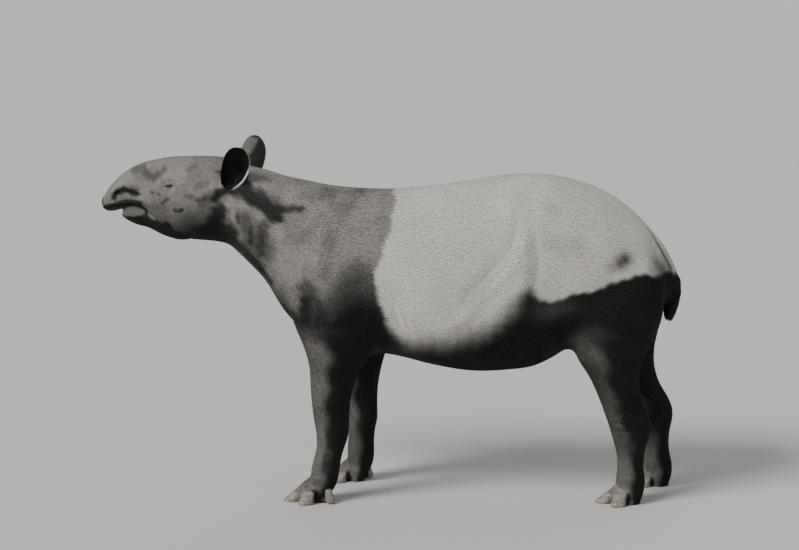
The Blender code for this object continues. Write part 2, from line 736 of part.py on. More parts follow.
def whole_skin():
    """The flesh in one closed surface, with its muscles and folds, the head still straight ahead."""
    forms = [lengthwise("trunk", TRUNK, TRUNK_SQUARENESS), lengthwise("skull", SKULL, HEAD_SQUARENESS)]
    forms += [limb(leg) for leg in SIDES]
    body = fuse("body", forms, COARSE_VOXEL)
    fill_creases(body, 90, lambda p: smoothstep(0.33, 0.46, p[:, 2]) * smoothstep(-0.62, -0.50, p[:, 0]))
    relax(body, 20, lambda p: smoothstep(0.22, 0.40, p[:, 2]) * smoothstep(-0.66, -0.56, p[:, 0]))
    forms = [body, lengthwise("jaw", JAW, HEAD_SQUARENESS), lengthwise("mouth", MOUTH, 2.0)]
    for leg in SIDES:
        forms += [toe(leg, *place) for place in toe_places(leg)]
    skin = fuse("whole_skin", forms, SKIN_VOXEL)
    relax(skin, 8, lambda p: np.ones(len(p)))
    for _, path, reach, lift in BODY_STROKES + HEAD_STROKES:
        stroke(skin, path, reach, lift)
    for kind, _, path, reach, lift in LEG_STROKES:
        leg_stroke(skin, kind, path, reach, lift)
    relax(skin, 4, lambda p: np.ones(len(p)))
    stroke(skin, NOSTRIL, 0.010, -0.010)
    x, y, z = EYE_CENTRE
    for lid, reach, lift in ((UPPER_LID, 0.0085, 0.006), (LOWER_LID, 0.0075, 0.005)):
        stroke(skin, [(x + along, y + EYE_RADIUS * 0.55, z + above) for along, above in lid], reach, lift)
    return skin


def thinned(skin):
    """Cuts the triangle count: first of the plain body, and then less of the head and feet."""
    for detailed, left in ((False, PLAIN_TRIANGLES), (True, DETAIL_TRIANGLES)):
        points = points_of(skin)
        fine = (points[:, 0] < -0.52) | (points[:, 2] < 0.12)
        zone = fine if detailed else ~fine
        skin.data.calc_loop_triangles()
        corners = np.empty(len(skin.data.loop_triangles) * 3, np.int32)
        skin.data.loop_triangles.foreach_get("vertices", corners)
        inside = int(zone[corners.reshape(-1, 3)].all(axis=1).sum())
        total = len(corners) // 3
        group = skin.vertex_groups.new(name="detail" if detailed else "plain")
        group.add(np.nonzero(zone)[0].tolist(), 1.0, "REPLACE")
        thin = skin.modifiers.new("fewer faces", "DECIMATE")
        thin.vertex_group = group.name
        thin.vertex_group_factor = 1000.0
        thin.use_collapse_triangulate = True
        thin.ratio = (total - inside + left) / total
        settled(skin)
    return skin


def flat_cutter(name, place, facing, turn):
    """A big block on the far side of a flat cut."""
    point, way = Vector(place), Matrix.Rotation(-turn, 3, "Z") @ Vector(facing).normalized()
    return block(name, point + way * 0.6, (0.5, 0.5, 0.6), way.to_track_quat("Z", "Y").to_matrix().to_4x4())


def flat_part(rest, name, place, facing, turn):
    """Parts off what lies beyond a flat cut."""
    back = tuple(Vector(place) - Vector(facing) * GAP)
    cutter = flat_cutter(name + "_cut", place, facing, turn)
    wider = flat_cutter(name + "_wide_cut", back, facing, turn)
    return part_off(rest, name, cutter, wider)


def set_in(host, piece):
    """Cuts a seat for a piece, a gap wider all round."""
    wider = grown(piece, piece.name + "_seat", GAP)
    cut(host, wider, "DIFFERENCE")
    CUTTERS.append(wider)


def colour(made, name, shade, roughness):
    """Gives a piece its own plain material."""
    material = bpy.data.materials.new(name)
    material.use_nodes = True
    surface = material.node_tree.nodes["Principled BSDF"]
    surface.inputs["Base Color"].default_value = (*shade, 1.0)
    surface.inputs["Roughness"].default_value = roughness
    surface.inputs["Metallic"].default_value = 0.0
    made.data.materials.clear()
    made.data.materials.append(material)


BLACK_HIDE = (0.030, 0.028, 0.027)
PALE_HIDE = (0.62, 0.60, 0.56)
HOOF_HORN = (0.22, 0.20, 0.18)
EYE_BROWN = (0.020, 0.012, 0.008)
CUTTERS = []


def tapir():
    """Builds every piece and returns them."""
    rest = whole_skin()
    turn_object(rest)
    thinned(rest)
    ground = block("ground_cut", Vector((0, 0, -0.25)), (1.5, 0.6, 0.25), Matrix())
    cut(rest, ground, "DIFFERENCE")
    CUTTERS.append(ground)
    pieces = {}
    pieces["head"] = flat_part(rest, "head", *HEAD_CUT, HEAD_TURN)
    pieces["neck"] = flat_part(rest, "neck", *NECK_CUT, 0.0)
    for leg in SIDES:
        limb_piece = part_off(rest, leg + "_leg", leg_cutter(leg, 0.0), leg_cutter(leg, GAP))
        low = Vector((0, 0, FOOT_TOP - 0.25))
        shallow = block(leg + "_foot_cut", low, (1.5, 0.6, 0.25), Matrix())
        deep = block(leg + "_foot_wide_cut", low + Vector((0, 0, GAP)), (1.5, 0.6, 0.25), Matrix())
        pieces[leg + "_foot"] = part_off(limb_piece, leg + "_foot", shallow, deep)
        pieces[leg + "_leg"] = limb_piece
        for name, *place in toe_places(leg):
            horn = hoof(f"{leg}_{name}_hoof", *place)
            set_in(pieces[leg + "_foot"], horn)
            pieces[horn.name] = horn
    rest.name = "torso"
    pieces["torso"] = rest
    for name, ear in EARS.items():
        pieces[name] = thickened(ear_sheet(name, ear), EAR_THICKNESS)
        set_in(pieces["head"], pieces[name])
    for name, side in (("left_eye", -1), ("right_eye", 1)):
        x, y, z = EYE_CENTRE
        centre = turned([(x, side * y, z)])[0]
        pieces[name] = ball(name, centre, EYE_RADIUS)
        set_in(pieces["head"], pieces[name])
    pieces["tail"] = tube("tail", TAIL_PATH, TAIL_HALF_WIDTHS)
    set_in(pieces["torso"], pieces["tail"])
    return pieces


for old in list(bpy.data.objects):
    bpy.data.objects.remove(old)
model = bpy.data.collections.new("malayan_tapir")
helpers = bpy.data.collections.new("cutters")
helpers.hide_render = True
bpy.context.scene.collection.children.link(model)
bpy.context.scene.collection.children.link(helpers)
built = tapir()
root = bpy.data.objects.new("tapir_root", None)
model.objects.link(root)
for name, made in built.items():
    bpy.context.scene.collection.objects.unlink(made)
    model.objects.link(made)
    made.name = name
    made.parent = root
    if name.endswith("hoof"):
        colour(made, name, HOOF_HORN, 0.55)
    elif name.endswith("eye"):
        colour(made, name, EYE_BROWN, 0.12)
    elif name == "torso":
        colour(made, name, PALE_HIDE, 0.85)
    else:
        colour(made, name, BLACK_HIDE, 0.80)
for cutter in CUTTERS:
    bpy.context.scene.collection.objects.unlink(cutter)
    helpers.objects.link(cutter)
    cutter.hide_render = True
    cutter.display_type = "WIRE"
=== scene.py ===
"""How the life-size Malayan tapir looks: hide, short coat, eyes and hooves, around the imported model.

Metres, +Z up. The head points along -X, the animal's left side faces -Y, and the soles stand on z = 0.
"""
import math

import bmesh
import bpy
import numpy as np
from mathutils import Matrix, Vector


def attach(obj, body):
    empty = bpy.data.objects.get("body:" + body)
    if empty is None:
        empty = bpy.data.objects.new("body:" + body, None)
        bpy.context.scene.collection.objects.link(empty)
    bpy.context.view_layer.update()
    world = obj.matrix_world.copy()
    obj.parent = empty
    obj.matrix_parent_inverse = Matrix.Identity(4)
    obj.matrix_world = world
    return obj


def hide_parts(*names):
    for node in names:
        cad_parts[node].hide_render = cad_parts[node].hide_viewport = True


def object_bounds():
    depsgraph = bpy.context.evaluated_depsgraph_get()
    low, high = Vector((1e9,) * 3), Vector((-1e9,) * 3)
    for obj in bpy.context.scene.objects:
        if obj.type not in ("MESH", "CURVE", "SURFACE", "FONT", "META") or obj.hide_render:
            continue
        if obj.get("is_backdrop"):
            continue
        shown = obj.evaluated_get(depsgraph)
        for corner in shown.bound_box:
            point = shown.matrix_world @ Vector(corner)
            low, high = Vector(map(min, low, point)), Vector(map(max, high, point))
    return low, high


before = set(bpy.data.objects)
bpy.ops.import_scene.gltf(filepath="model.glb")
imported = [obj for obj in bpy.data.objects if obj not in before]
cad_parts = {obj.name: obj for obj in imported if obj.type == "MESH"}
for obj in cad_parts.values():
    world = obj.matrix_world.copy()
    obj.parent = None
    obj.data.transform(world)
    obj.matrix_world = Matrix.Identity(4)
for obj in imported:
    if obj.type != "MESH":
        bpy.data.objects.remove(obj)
cad_low, cad_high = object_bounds()


# The hide
# One thick, unbroken skin over the whole animal: trunk, head, legs, toes, ears and tail.
# It is lofted from stations along the body and legs, fused, smoothed where muscles meet, and then
# worked finer on the head and feet. It lies under the solids by the depth of the short coat.
SHOULDER_HEIGHT = 0.998
RUMP_HEIGHT = 1.046
BELLY_HEIGHT = 0.410
BARREL_HALF_WIDTH = 0.268
HEAD_HALF_WIDTH = 0.110
NOSE_TIP_X = -0.962
RUMP_END_X = 0.926
COAT_DEPTH = 0.0014

COARSE_VOXEL = 0.009
SKIN_VOXEL = 0.0060
RING_POINTS = 84
RING_SPACING = 0.012

# The head and neck turn to the animal's right, bending between these two places
TURN_START_X = -0.20
TURN_END_X = -0.52
HEAD_TURN = math.radians(11.0)

# Each station: x, top, bottom, half width, height of the widest line
TRUNK = (
    (-0.580, 1.040, 0.880, 0.050, 0.960),
    (-0.540, 1.066, 0.832, 0.086, 0.952),
    (-0.500, 1.074, 0.792, 0.100, 0.940),
    (-0.453, 1.066, 0.749, 0.107, 0.920),
    (-0.398, 1.054, 0.691, 0.118, 0.888),
    (-0.340, 1.036, 0.598, 0.140, 0.840),
    (-0.290, 1.026, 0.545, 0.166, 0.790),
    (-0.206, 1.009, 0.497, 0.203, 0.740),
    (-0.100, SHOULDER_HEIGHT, 0.472, 0.232, 0.710),
    (0.010, 0.997, 0.460, 0.248, 0.690),
    (0.150, 1.010, 0.427, 0.262, 0.680),
    (0.263, 1.026, BELLY_HEIGHT, BARREL_HALF_WIDTH, 0.680),
    (0.373, 1.043, 0.413, 0.266, 0.690),
    (0.468, RUMP_HEIGHT, 0.428, 0.256, 0.710),
    (0.545, 1.038, 0.468, 0.247, 0.730),
    (0.609, 1.023, 0.514, 0.239, 0.750),
    (0.674, 0.998, 0.530, 0.229, 0.750),
    (0.740, 0.959, 0.550, 0.207, 0.740),
    (0.796, 0.912, 0.566, 0.177, 0.730),
    (0.845, 0.859, 0.592, 0.141, 0.712),
    (0.880, 0.815, 0.628, 0.107, 0.708),
    (0.906, 0.769, 0.665, 0.070, 0.705),
    (RUMP_END_X, 0.722, 0.688, 0.030, 0.703),
)
SKULL = (
    (-0.450, 1.046, 0.860, 0.060, 0.968),
    (-0.480, 1.078, 0.822, 0.090, 0.968),
    (-0.520, 1.092, 0.811, 0.104, 0.970),
    (-0.560, 1.095, 0.817, HEAD_HALF_WIDTH, 0.972),
    (-0.610, 1.096, 0.820, 0.108, 0.979),
    (-0.660, 1.095, 0.823, 0.102, 0.983),
    (-0.710, 1.093, 0.834, 0.091, 0.983),
    (-0.758, 1.086, 0.858, 0.080, 0.979),
    (-0.800, 1.077, 0.904, 0.069, 0.976),
    (-0.842, 1.063, 0.925, 0.060, 0.973),
    (-0.884, 1.039, 0.920, 0.053, 0.969),
    (-0.916, 1.012, 0.909, 0.048, 0.957),
    (-0.943, 0.981, 0.906, 0.040, 0.940),
    (NOSE_TIP_X, 0.952, 0.913, 0.025, 0.930),
)
JAW = (
    (-0.630, 0.925, 0.835, 0.040, 0.880),
    (-0.670, 0.926, 0.820, 0.062, 0.872),
    (-0.740, 0.926, 0.830, 0.060, 0.874),
    (-0.800, 0.926, 0.856, 0.051, 0.888),
    (-0.850, 0.922, 0.868, 0.044, 0.897),
    (-0.879, 0.916, 0.882, 0.035, 0.899),
    (-0.895, 0.905, 0.891, 0.017, 0.898),
)
# What closes the mouth between the lips
MOUTH = (
    (-0.740, 0.946, 0.907, 0.050, 0.924),
    (-0.800, 0.944, 0.908, 0.046, 0.925),
    (-0.850, 0.942, 0.906, 0.037, 0.924),
    (-0.878, 0.936, 0.904, 0.022, 0.920),
)
TRUNK_SQUARENESS = 2.2
HEAD_SQUARENESS = 2.25
LEG_SQUARENESS = 2.15

# Each leg station: height, front edge x, rear edge x, half width, distance of its middle from the midline
FORELEG = (
    (0.800, -0.260, -0.050, 0.050, 0.150),
    (0.720, -0.292, -0.005, 0.078, 0.152),
    (0.640, -0.304, 0.005, 0.088, 0.150),
    (0.570, -0.289, -0.012, 0.088, 0.147),
    (0.500, -0.264, -0.045, 0.082, 0.145),
    (0.440, -0.250, -0.082, 0.072, 0.142),
    (0.400, -0.248, -0.100, 0.065, 0.140),
    (0.335, -0.245, -0.118, 0.057, 0.138),
    (0.270, -0.238, -0.124, 0.052, 0.137),
    (0.215, -0.230, -0.127, 0.053, 0.137),
    (0.172, -0.231, -0.141, 0.047, 0.137),
    (0.139, -0.239, -0.150, 0.045, 0.137),
    (0.107, -0.246, -0.155, 0.046, 0.137),
    (0.074, -0.250, -0.160, 0.048, 0.137),
    (0.045, -0.253, -0.171, 0.047, 0.137),
    (0.020, -0.252, -0.188, 0.041, 0.137),
    (0.006, -0.248, -0.198, 0.035, 0.137),
)
HINDLEG = (
    (0.830, 0.610, 0.810, 0.060, 0.110),
    (0.760, 0.580, 0.850, 0.084, 0.120),
    (0.680, 0.562, 0.868, 0.098, 0.126),
    (0.600, 0.563, 0.858, 0.099, 0.127),
    (0.530, 0.574, 0.839, 0.093, 0.126),
    (0.470, 0.600, 0.811, 0.081, 0.124),
    (0.410, 0.638, 0.798, 0.069, 0.122),
    (0.340, 0.670, 0.808, 0.058, 0.120),
    (0.300, 0.685, 0.827, 0.054, 0.119),
    (0.262, 0.699, 0.838, 0.052, 0.118),
    (0.230, 0.709, 0.836, 0.049, 0.118),
    (0.190, 0.721, 0.825, 0.046, 0.118),
    (0.150, 0.730, 0.818, 0.045, 0.118),
    (0.110, 0.731, 0.818, 0.046, 0.118),
    (0.080, 0.728, 0.822, 0.049, 0.118),
    (0.050, 0.728, 0.821, 0.048, 0.118),
    (0.022, 0.733, 0.815, 0.043, 0.118),
    (0.006, 0.740, 0.808, 0.037, 0.118),
)
# How far each leg is set back from the station tables, by height
LEG_SETBACKS = {
    "front_left": ((0.0, 0.000), (0.9, 0.000)),
    "front_right": (
        (0.0, 0.104), (0.10, 0.096), (0.20, 0.080), (0.40, 0.068), (0.60, 0.030), (0.9, 0.000),
    ),
    "hind_left": ((0.0, 0.000), (0.9, 0.000)),
    "hind_right": (
        (0.0, 0.113), (0.05, 0.111), (0.12, 0.104), (0.25, 0.092), (0.45, 0.061), (0.60, 0.022), (0.9, 0.000),
    ),
}
SIDES = {"front_left": -1, "front_right": 1, "hind_left": -1, "hind_right": 1}

# Each toe: name, bearing out from straight ahead, reach to the hoof tip, hoof width, length, height,
# and how far its tip stands off the ground
FOREFOOT_HEEL = (-0.226, 0.137)
FOREFOOT_TOES = (
    ("middle", 4.0, 0.121, 0.043, 0.070, 0.034, 0.0),
    ("inner", -35.0, 0.098, 0.037, 0.056, 0.034, 0.0),
    ("outer", 52.0, 0.095, 0.048, 0.062, 0.041, 0.0),
    ("little", 138.0, 0.076, 0.029, 0.034, 0.046, 0.005),
)
HINDFOOT_HEEL = (0.770, 0.118)
HINDFOOT_TOES = (
    ("middle", 2.0, 0.116, 0.044, 0.068, 0.035, 0.0),
    ("inner", -37.0, 0.092, 0.038, 0.054, 0.035, 0.0),
    ("outer", 51.0, 0.094, 0.047, 0.061, 0.041, 0.0),
)
# The flesh of a toe: share of its reach, height of its middle, share of the hoof width, half thickness
TOE_RINGS = (
    (0.06, 0.052, 0.56, 0.042),
    (0.24, 0.042, 0.58, 0.034),
    (0.40, 0.032, 0.56, 0.026),
    (0.54, 0.023, 0.50, 0.018),
    (0.66, 0.014, 0.36, 0.009),
)
TAIL_PATH = (
    (0.862, 0.735), (0.891, 0.724), (0.907, 0.700), (0.910, 0.665), (0.906, 0.630), (0.900, 0.598),
    (0.897, 0.575),
)
TAIL_HALF_WIDTHS = (0.034, 0.037, 0.036, 0.034, 0.031, 0.026, 0.016)

# Muscles, hollows and folds: name, path of points on the surface, how wide it is, how far it lifts.
# All but those with a y of 0 are made on both sides.
BODY_STROKES = (
    (
        "shoulder blade",
        ((-0.120, 0.200, 0.860), (-0.190, 0.210, 0.740), (-0.240, 0.210, 0.640)), 0.120, 0.006,
    ),
    (
        "hollow behind the elbow",
        ((0.020, 0.250, 0.660), (0.010, 0.240, 0.580), (-0.010, 0.190, 0.490)), 0.080, -0.007,
    ),
    ("flank hollow", ((0.520, 0.250, 0.720), (0.530, 0.250, 0.620), (0.545, 0.210, 0.520)), 0.120, -0.008),
    (
        "rib edge",
        ((0.415, 0.262, 0.800), (0.402, 0.262, 0.700), (0.350, 0.255, 0.600), (0.270, 0.235, 0.520)),
        0.080, 0.0035,
    ),
    ("hip", ((0.500, 0.190, 0.970), (0.560, 0.200, 0.930)), 0.110, 0.005),
    ("buttock", ((0.800, 0.170, 0.740), (0.840, 0.150, 0.620)), 0.110, 0.006),
    (
        "throat groove",
        ((-0.545, 0.090, 0.950), (-0.520, 0.095, 0.880), (-0.490, 0.085, 0.810)), 0.055, -0.004,
    ),
    ("neck fold", ((-0.500, 0.100, 1.000), (-0.470, 0.112, 0.930), (-0.440, 0.105, 0.850)), 0.034, 0.003),
    ("second neck fold", ((-0.430, 0.112, 0.960), (-0.400, 0.120, 0.880)), 0.036, 0.0025),
    ("spine furrow", ((0.600, 0.0, 1.030), (0.250, 0.0, 1.027), (0.000, 0.0, 0.997)), 0.045, -0.003),
)
LEG_STROKES = (
    ("front", "forearm muscle", ((-0.170, 0.200, 0.440), (-0.175, 0.195, 0.350)), 0.060, 0.005),
    ("front", "elbow", ((-0.050, 0.180, 0.520), (-0.070, 0.180, 0.470)), 0.060, 0.006),
    ("front", "wrist", ((-0.220, 0.185, 0.225), (-0.180, 0.185, 0.215)), 0.045, 0.003),
    ("front", "cannon groove", ((-0.172, 0.182, 0.185), (-0.195, 0.182, 0.120)), 0.030, -0.003),
    ("hind", "second thigh", ((0.690, 0.200, 0.470), (0.725, 0.185, 0.370)), 0.075, 0.006),
    ("hind", "hock hollow", ((0.795, 0.170, 0.370), (0.800, 0.168, 0.300)), 0.034, -0.006),
    ("hind", "hock", ((0.745, 0.170, 0.260), (0.775, 0.170, 0.240)), 0.045, 0.004),
)
HEAD_STROKES = (
    ("cheek", ((-0.575, 0.105, 0.935), (-0.640, 0.100, 0.895)), 0.085, 0.009),
    ("temple", ((-0.590, 0.100, 1.030), (-0.640, 0.098, 1.034)), 0.050, -0.003),
    ("eye hollow", ((-0.697, 0.092, 1.003), (-0.699, 0.092, 1.003)), 0.026, -0.003),
    ("brow", ((-0.650, 0.095, 1.030), (-0.690, 0.090, 1.036), (-0.730, 0.074, 1.025)), 0.042, 0.003),
    ("cheek bone", ((-0.600, 0.108, 0.985), (-0.680, 0.098, 0.972), (-0.760, 0.078, 0.958)), 0.045, 0.003),
    (
        "nasal hollow",
        ((-0.768, 0.078, 1.036), (-0.820, 0.066, 1.020), (-0.858, 0.058, 1.008)), 0.050, -0.006,
    ),
)


def curve_through(keys):
    """A smooth function through rows of a place and its values, with three-point slopes at the rows."""
    rows = np.array(sorted(keys), float)
    places, values = rows[:, 0], rows[:, 1:]
    slopes = np.gradient(values, places, axis=0)

    def at(where):
        where = np.clip(np.atleast_1d(where), places[0], places[-1])
        i = np.clip(np.searchsorted(places, where) - 1, 0, len(places) - 2)
        span = (places[i + 1] - places[i])[:, None]
        t = (where[:, None] - places[i][:, None]) / span
        return (
            values[i] * (2 * t**3 - 3 * t**2 + 1)
            + values[i + 1] * (3 * t**2 - 2 * t**3)
            + slopes[i] * span * (t**3 - 2 * t**2 + t)
            + slopes[i + 1] * span * (t**3 - t**2)
        )

    return at


def oval(centre, side, up, half_side, reach_up, reach_down, squareness):
    """One ring of points: a superellipse whose upper and lower halves may differ in height."""
    points = []
    for k in range(RING_POINTS):
        turn = 2 * math.pi * k / RING_POINTS
        across = math.copysign(abs(math.cos(turn)) ** (2 / squareness), math.cos(turn))
        along = math.copysign(abs(math.sin(turn)) ** (2 / squareness), math.sin(turn))
        reach = reach_up if along > 0 else reach_down
        points.append(centre + side * (across * half_side) + up * (along * reach))
    return points


def placed(name, data):
    """An object of the scene that shows this mesh, light or camera."""
    made = bpy.data.objects.new(name, data)
    bpy.context.scene.collection.objects.link(made)
    return made


def smooth_shaded(made):
    """Shades a piece as one rounded surface."""
    made.data.polygons.foreach_set("use_smooth", np.ones(len(made.data.polygons), bool))


def mesh_object(name, mesh):
    """Puts a bmesh in the scene as a named object."""
    data = bpy.data.meshes.new(name)
    bmesh.ops.recalc_face_normals(mesh, faces=mesh.faces)
    mesh.to_mesh(data)
    mesh.free()
    return placed(name, data)


def loft(name, rings):
    """A closed tube over rings of points that all have the same count."""
    mesh = bmesh.new()
    loops = [[mesh.verts.new(point) for point in ring] for ring in rings]
    for near, far in zip(loops, loops[1:]):
        for k in range(len(near)):
            mesh.faces.new((near[k], near[k - 1], far[k - 1], far[k]))
    mesh.faces.new(loops[0])
    mesh.faces.new(loops[-1])
    return mesh_object(name, mesh)


def lengthwise(name, stations, squareness):
    """A form along X from stations of x, top, bottom, half width and height of the widest line."""
    shape = curve_through(stations)
    start, end = min(s[0] for s in stations), max(s[0] for s in stations)
    rings = []
    for x in np.linspace(start, end, max(6, round((end - start) / RING_SPACING))):
        top, bottom, half_width, level = shape(x)[0]
        centre = Vector((x, 0, level))
        reaches = (half_width, top - level, level - bottom)
        rings.append(oval(centre, Vector((0, 1, 0)), Vector((0, 0, 1)), *reaches, squareness))
    return loft(name, rings)


def leg_place(leg, height):
    """How far a leg stands back from its station table at this height."""
    return float(curve_through(LEG_SETBACKS[leg])(height)[0][0])


def limb(leg):
    """A leg from the body to below the sole level."""
    stations = FORELEG if leg.startswith("front") else HINDLEG
    shape = curve_through(stations)
    below = 0.012
    rings = []
    for z in np.arange(-below, max(s[0] for s in stations), RING_SPACING):
        front, rear, half_width, spread = shape(z)[0]
        centre = Vector(((front + rear) / 2 + leg_place(leg, z), SIDES[leg] * spread, z))
        reaches = ((rear - front) / 2, half_width, half_width)
        rings.append(oval(centre, Vector((1, 0, 0)), Vector((0, 1, 0)), *reaches, LEG_SQUARENESS))
    return loft(leg + "_flesh", rings)


def toe_places(leg):
    """Each toe of a leg: name, heel point, heading, reach, its hoof's width, length, height and rise."""
    front = leg.startswith("front")
    heel_x, spread = FOREFOOT_HEEL if front else HINDFOOT_HEEL
    heel = Vector((heel_x + leg_place(leg, 0.0), SIDES[leg] * spread, 0))
    for name, bearing, reach, width, length, height, rise in FOREFOOT_TOES if front else HINDFOOT_TOES:
        turn = math.radians(bearing)
        heading = Vector((-math.cos(turn), SIDES[leg] * math.sin(turn), 0))
        yield name, heel, heading, reach, width, length, height, rise


def toe(leg, name, heel, heading, reach, width, length, height, rise):
    """The flesh of one toe, from inside the foot to inside its hoof."""
    across = heading.cross(Vector((0, 0, 1)))
    rings = []
    for share, level, widening, thickness in TOE_RINGS:
        centre = heel + heading * (reach * share) + Vector((0, 0, level + rise * share))
        reaches = (width * widening, thickness, level + 0.004)
        rings.append(oval(centre, across, Vector((0, 0, 1)), *reaches, LEG_SQUARENESS))
    return loft(f"{leg}_{name}_toe", rings)


def tail():
    """The stub of a tail, hanging from the rump in the upright middle plane."""
    points = [Vector((x, 0, z)) for x, z in TAIL_PATH]
    rings = []
    for k, point in enumerate(points):
        ahead = (points[min(k + 1, len(points) - 1)] - points[max(k - 1, 0)]).normalized()
        across = Vector((0, 1, 0))
        half = TAIL_HALF_WIDTHS[k]
        rings.append(oval(point, across, across.cross(ahead), half, half * 0.8, half * 0.8, 2.0))
    return loft("tail_flesh", rings)


def settled(made):
    """Applies an object's modifiers."""
    graph = bpy.context.evaluated_depsgraph_get()
    data = bpy.data.meshes.new_from_object(made.evaluated_get(graph))
    made.modifiers.clear()
    made.data = data
    return made


def fuse(name, forms, voxel):
    """Joins overlapping forms into one closed surface of even squares."""
    joined = bmesh.new()
    for form in forms:
        joined.from_mesh(form.data)
        bpy.data.objects.remove(form)
    made = mesh_object(name, joined)
    remesh = made.modifiers.new("one skin", "REMESH")
    remesh.mode = "VOXEL"
    remesh.voxel_size = voxel
    return settled(made)


def points_of(made):
    """The points of a piece, as rows of x, y and z."""
    points = np.empty(len(made.data.vertices) * 3)
    made.data.vertices.foreach_get("co", points)
    return points.reshape(-1, 3)


def set_points(made, points):
    """Moves the points of a piece to these places."""
    made.data.vertices.foreach_set("co", points.ravel())
    made.data.update()


def normals_of(made):
    """The way the surface faces at each point of a piece."""
    normals = np.empty(len(made.data.vertices) * 3, np.float32)
    made.data.vertex_normals.foreach_get("vector", normals)
    return normals.reshape(-1, 3).astype(float)


def smoothstep(low, high, values):
    """Passes gently from 0 at low to 1 at high. The higher end may be given first, to pass downwards."""
    t = np.clip((values - low) / (high - low), 0, 1)
    return t * t * (3 - 2 * t)


def neighbour_pull(made, points):
    """How far each point is from the middle of its neighbours."""
    pairs = np.empty(len(made.data.edges) * 2, np.int32)
    made.data.edges.foreach_get("vertices", pairs)
    a, b = pairs.reshape(-1, 2).T
    degree = np.bincount(np.concatenate([a, b]), minlength=len(points))
    pull = np.empty_like(points)
    for axis in range(3):
        total = np.bincount(a, points[b, axis], len(points)) + np.bincount(b, points[a, axis], len(points))
        pull[:, axis] = total / degree - points[:, axis]
    return pull


def relax(made, rounds, weight):
    """Evens out the surface without shrinking it, by the weight given for each point."""
    points = points_of(made)
    amount = weight(points)[:, None]
    for step in range(rounds):
        push = 0.55 if step % 2 == 0 else -0.56
        points = points + neighbour_pull(made, points) * (amount * push)
    set_points(made, points)


def fill_creases(made, rounds, weight):
    """Fills the hollow lines where forms meet, leaving the rounded parts where they are."""
    for step in range(rounds):
        if step % 10 == 0:
            points = points_of(made)
            normals = normals_of(made)
            amount = weight(points)[:, None]
        pull = neighbour_pull(made, points)
        outward = (pull * normals).sum(axis=1, keepdims=True)
        points = points + amount * 0.6 * (pull - np.minimum(outward, 0) * normals)
        if step % 10 == 9:
            set_points(made, points)
    set_points(made, points)


def nearest_on_path(points, path):
    """How far each point is from a run of straight lines, and how far along it, from 0 to 1."""
    best = np.full(len(points), np.inf)
    place = np.zeros(len(points))
    for k, (start, end) in enumerate(zip(path, path[1:])):
        along = end - start
        t = np.clip((points - start) @ along / max(along @ along, 1e-12), 0, 1)
        far = np.linalg.norm(points - start - t[:, None] * along, axis=1)
        closer = far < best
        best[closer] = far[closer]
        place[closer] = (k + t[closer]) / (len(path) - 1)
    return best, place


def press(points, normals, path, reach, lift, crease):
    """Moves the points near a path along their normals. A crease is sharp, and runs out at its ends."""
    near = np.all((points > path.min(0) - reach) & (points < path.max(0) + reach), axis=1)
    far, place = nearest_on_path(points[near], path)
    if crease:
        swell = np.sin(np.pi * (0.06 + 0.88 * place)) ** 0.7
        fade = np.clip(1 - (far / (reach * (0.4 + 0.6 * swell))) ** 1.3, 0, 1) ** 2 * swell
    else:
        fade = np.clip(1 - (far / reach) ** 2, 0, 1) ** 2
    points[near] += normals[near] * (lift * fade)[:, None]


def smooth_path(path):
    """A path's points joined by a smooth curve."""
    keys = [(k, *point) for k, point in enumerate(path)]
    return curve_through(keys)(np.linspace(0, len(path) - 1, 8 * len(path)))


def stroke(made, path, reach, lift, crease=False):
    """Lifts or presses the skin along a path, on both sides unless it is on the midline."""
    points = points_of(made)
    normals = normals_of(made)
    path = smooth_path(path) if crease else np.array(path, float)
    for side in (1.0,) if np.allclose(path[:, 1], 0) else (1.0, -1.0):
        press(points, normals, path * (1.0, side, 1.0), reach, lift, crease)
    set_points(made, points)


def leg_stroke(made, kind, path, reach, lift, crease=False):
    """A stroke on the outer side of each leg of a kind, set back with that leg."""
    points = points_of(made)
    normals = normals_of(made)
    for leg, side in SIDES.items():
        if leg.startswith(kind):
            there = np.array([(x + leg_place(leg, z), side * y, z) for x, y, z in path])
            press(points, normals, smooth_path(there) if crease else there, reach, lift, crease)
    set_points(made, points)


def head_line(x):
    """The turned middle line of the neck and head at each straight x: its x, its y and how far it turns."""
    along = np.linspace(NOSE_TIP_X - 0.1, TURN_START_X, 240)
    angle = HEAD_TURN * smoothstep(TURN_START_X, TURN_END_X, along)
    steps = np.diff(along)
    middle = (angle[1:] + angle[:-1]) / 2
    line_x = np.concatenate([[0], np.cumsum(steps * np.cos(middle))])
    line_y = np.concatenate([[0], np.cumsum(-steps * np.sin(middle))])
    line_x += TURN_START_X - line_x[-1]
    line_y -= line_y[-1]
    return [np.interp(x, along, values) for values in (line_x, line_y, angle)]


def turned(points):
    """Bends the head and neck about an upright axis: straight ahead in, as posed out."""
    points = np.array(points, float)
    moving = points[:, 0] < TURN_START_X
    line_x, line_y, angle = head_line(points[moving, 0])
    y = points[moving, 1]
    points[moving, 0] = line_x + y * np.sin(angle)
    points[moving, 1] = line_y + y * np.cos(angle)
    return points


def straightened(points):
    """Undoes the turn of the head: as posed in, straight ahead out."""
    points = np.array(points, float)
    moving = points[:, 0] < TURN_START_X + 0.03
    x, y = points[moving, 0].copy(), points[moving, 1].copy()
    posed_x, posed_y = x.copy(), y.copy()
    for _ in range(6):
        line_x, line_y, angle = head_line(x)
        off_x, off_y = posed_x - line_x, posed_y - line_y
        off_x -= np.maximum(x - TURN_START_X, 0)
        x = x + off_x * np.cos(angle) - off_y * np.sin(angle)
        y = off_x * np.sin(angle) + off_y * np.cos(angle)
    points[moving, 0], points[moving, 1] = x, y
    return points


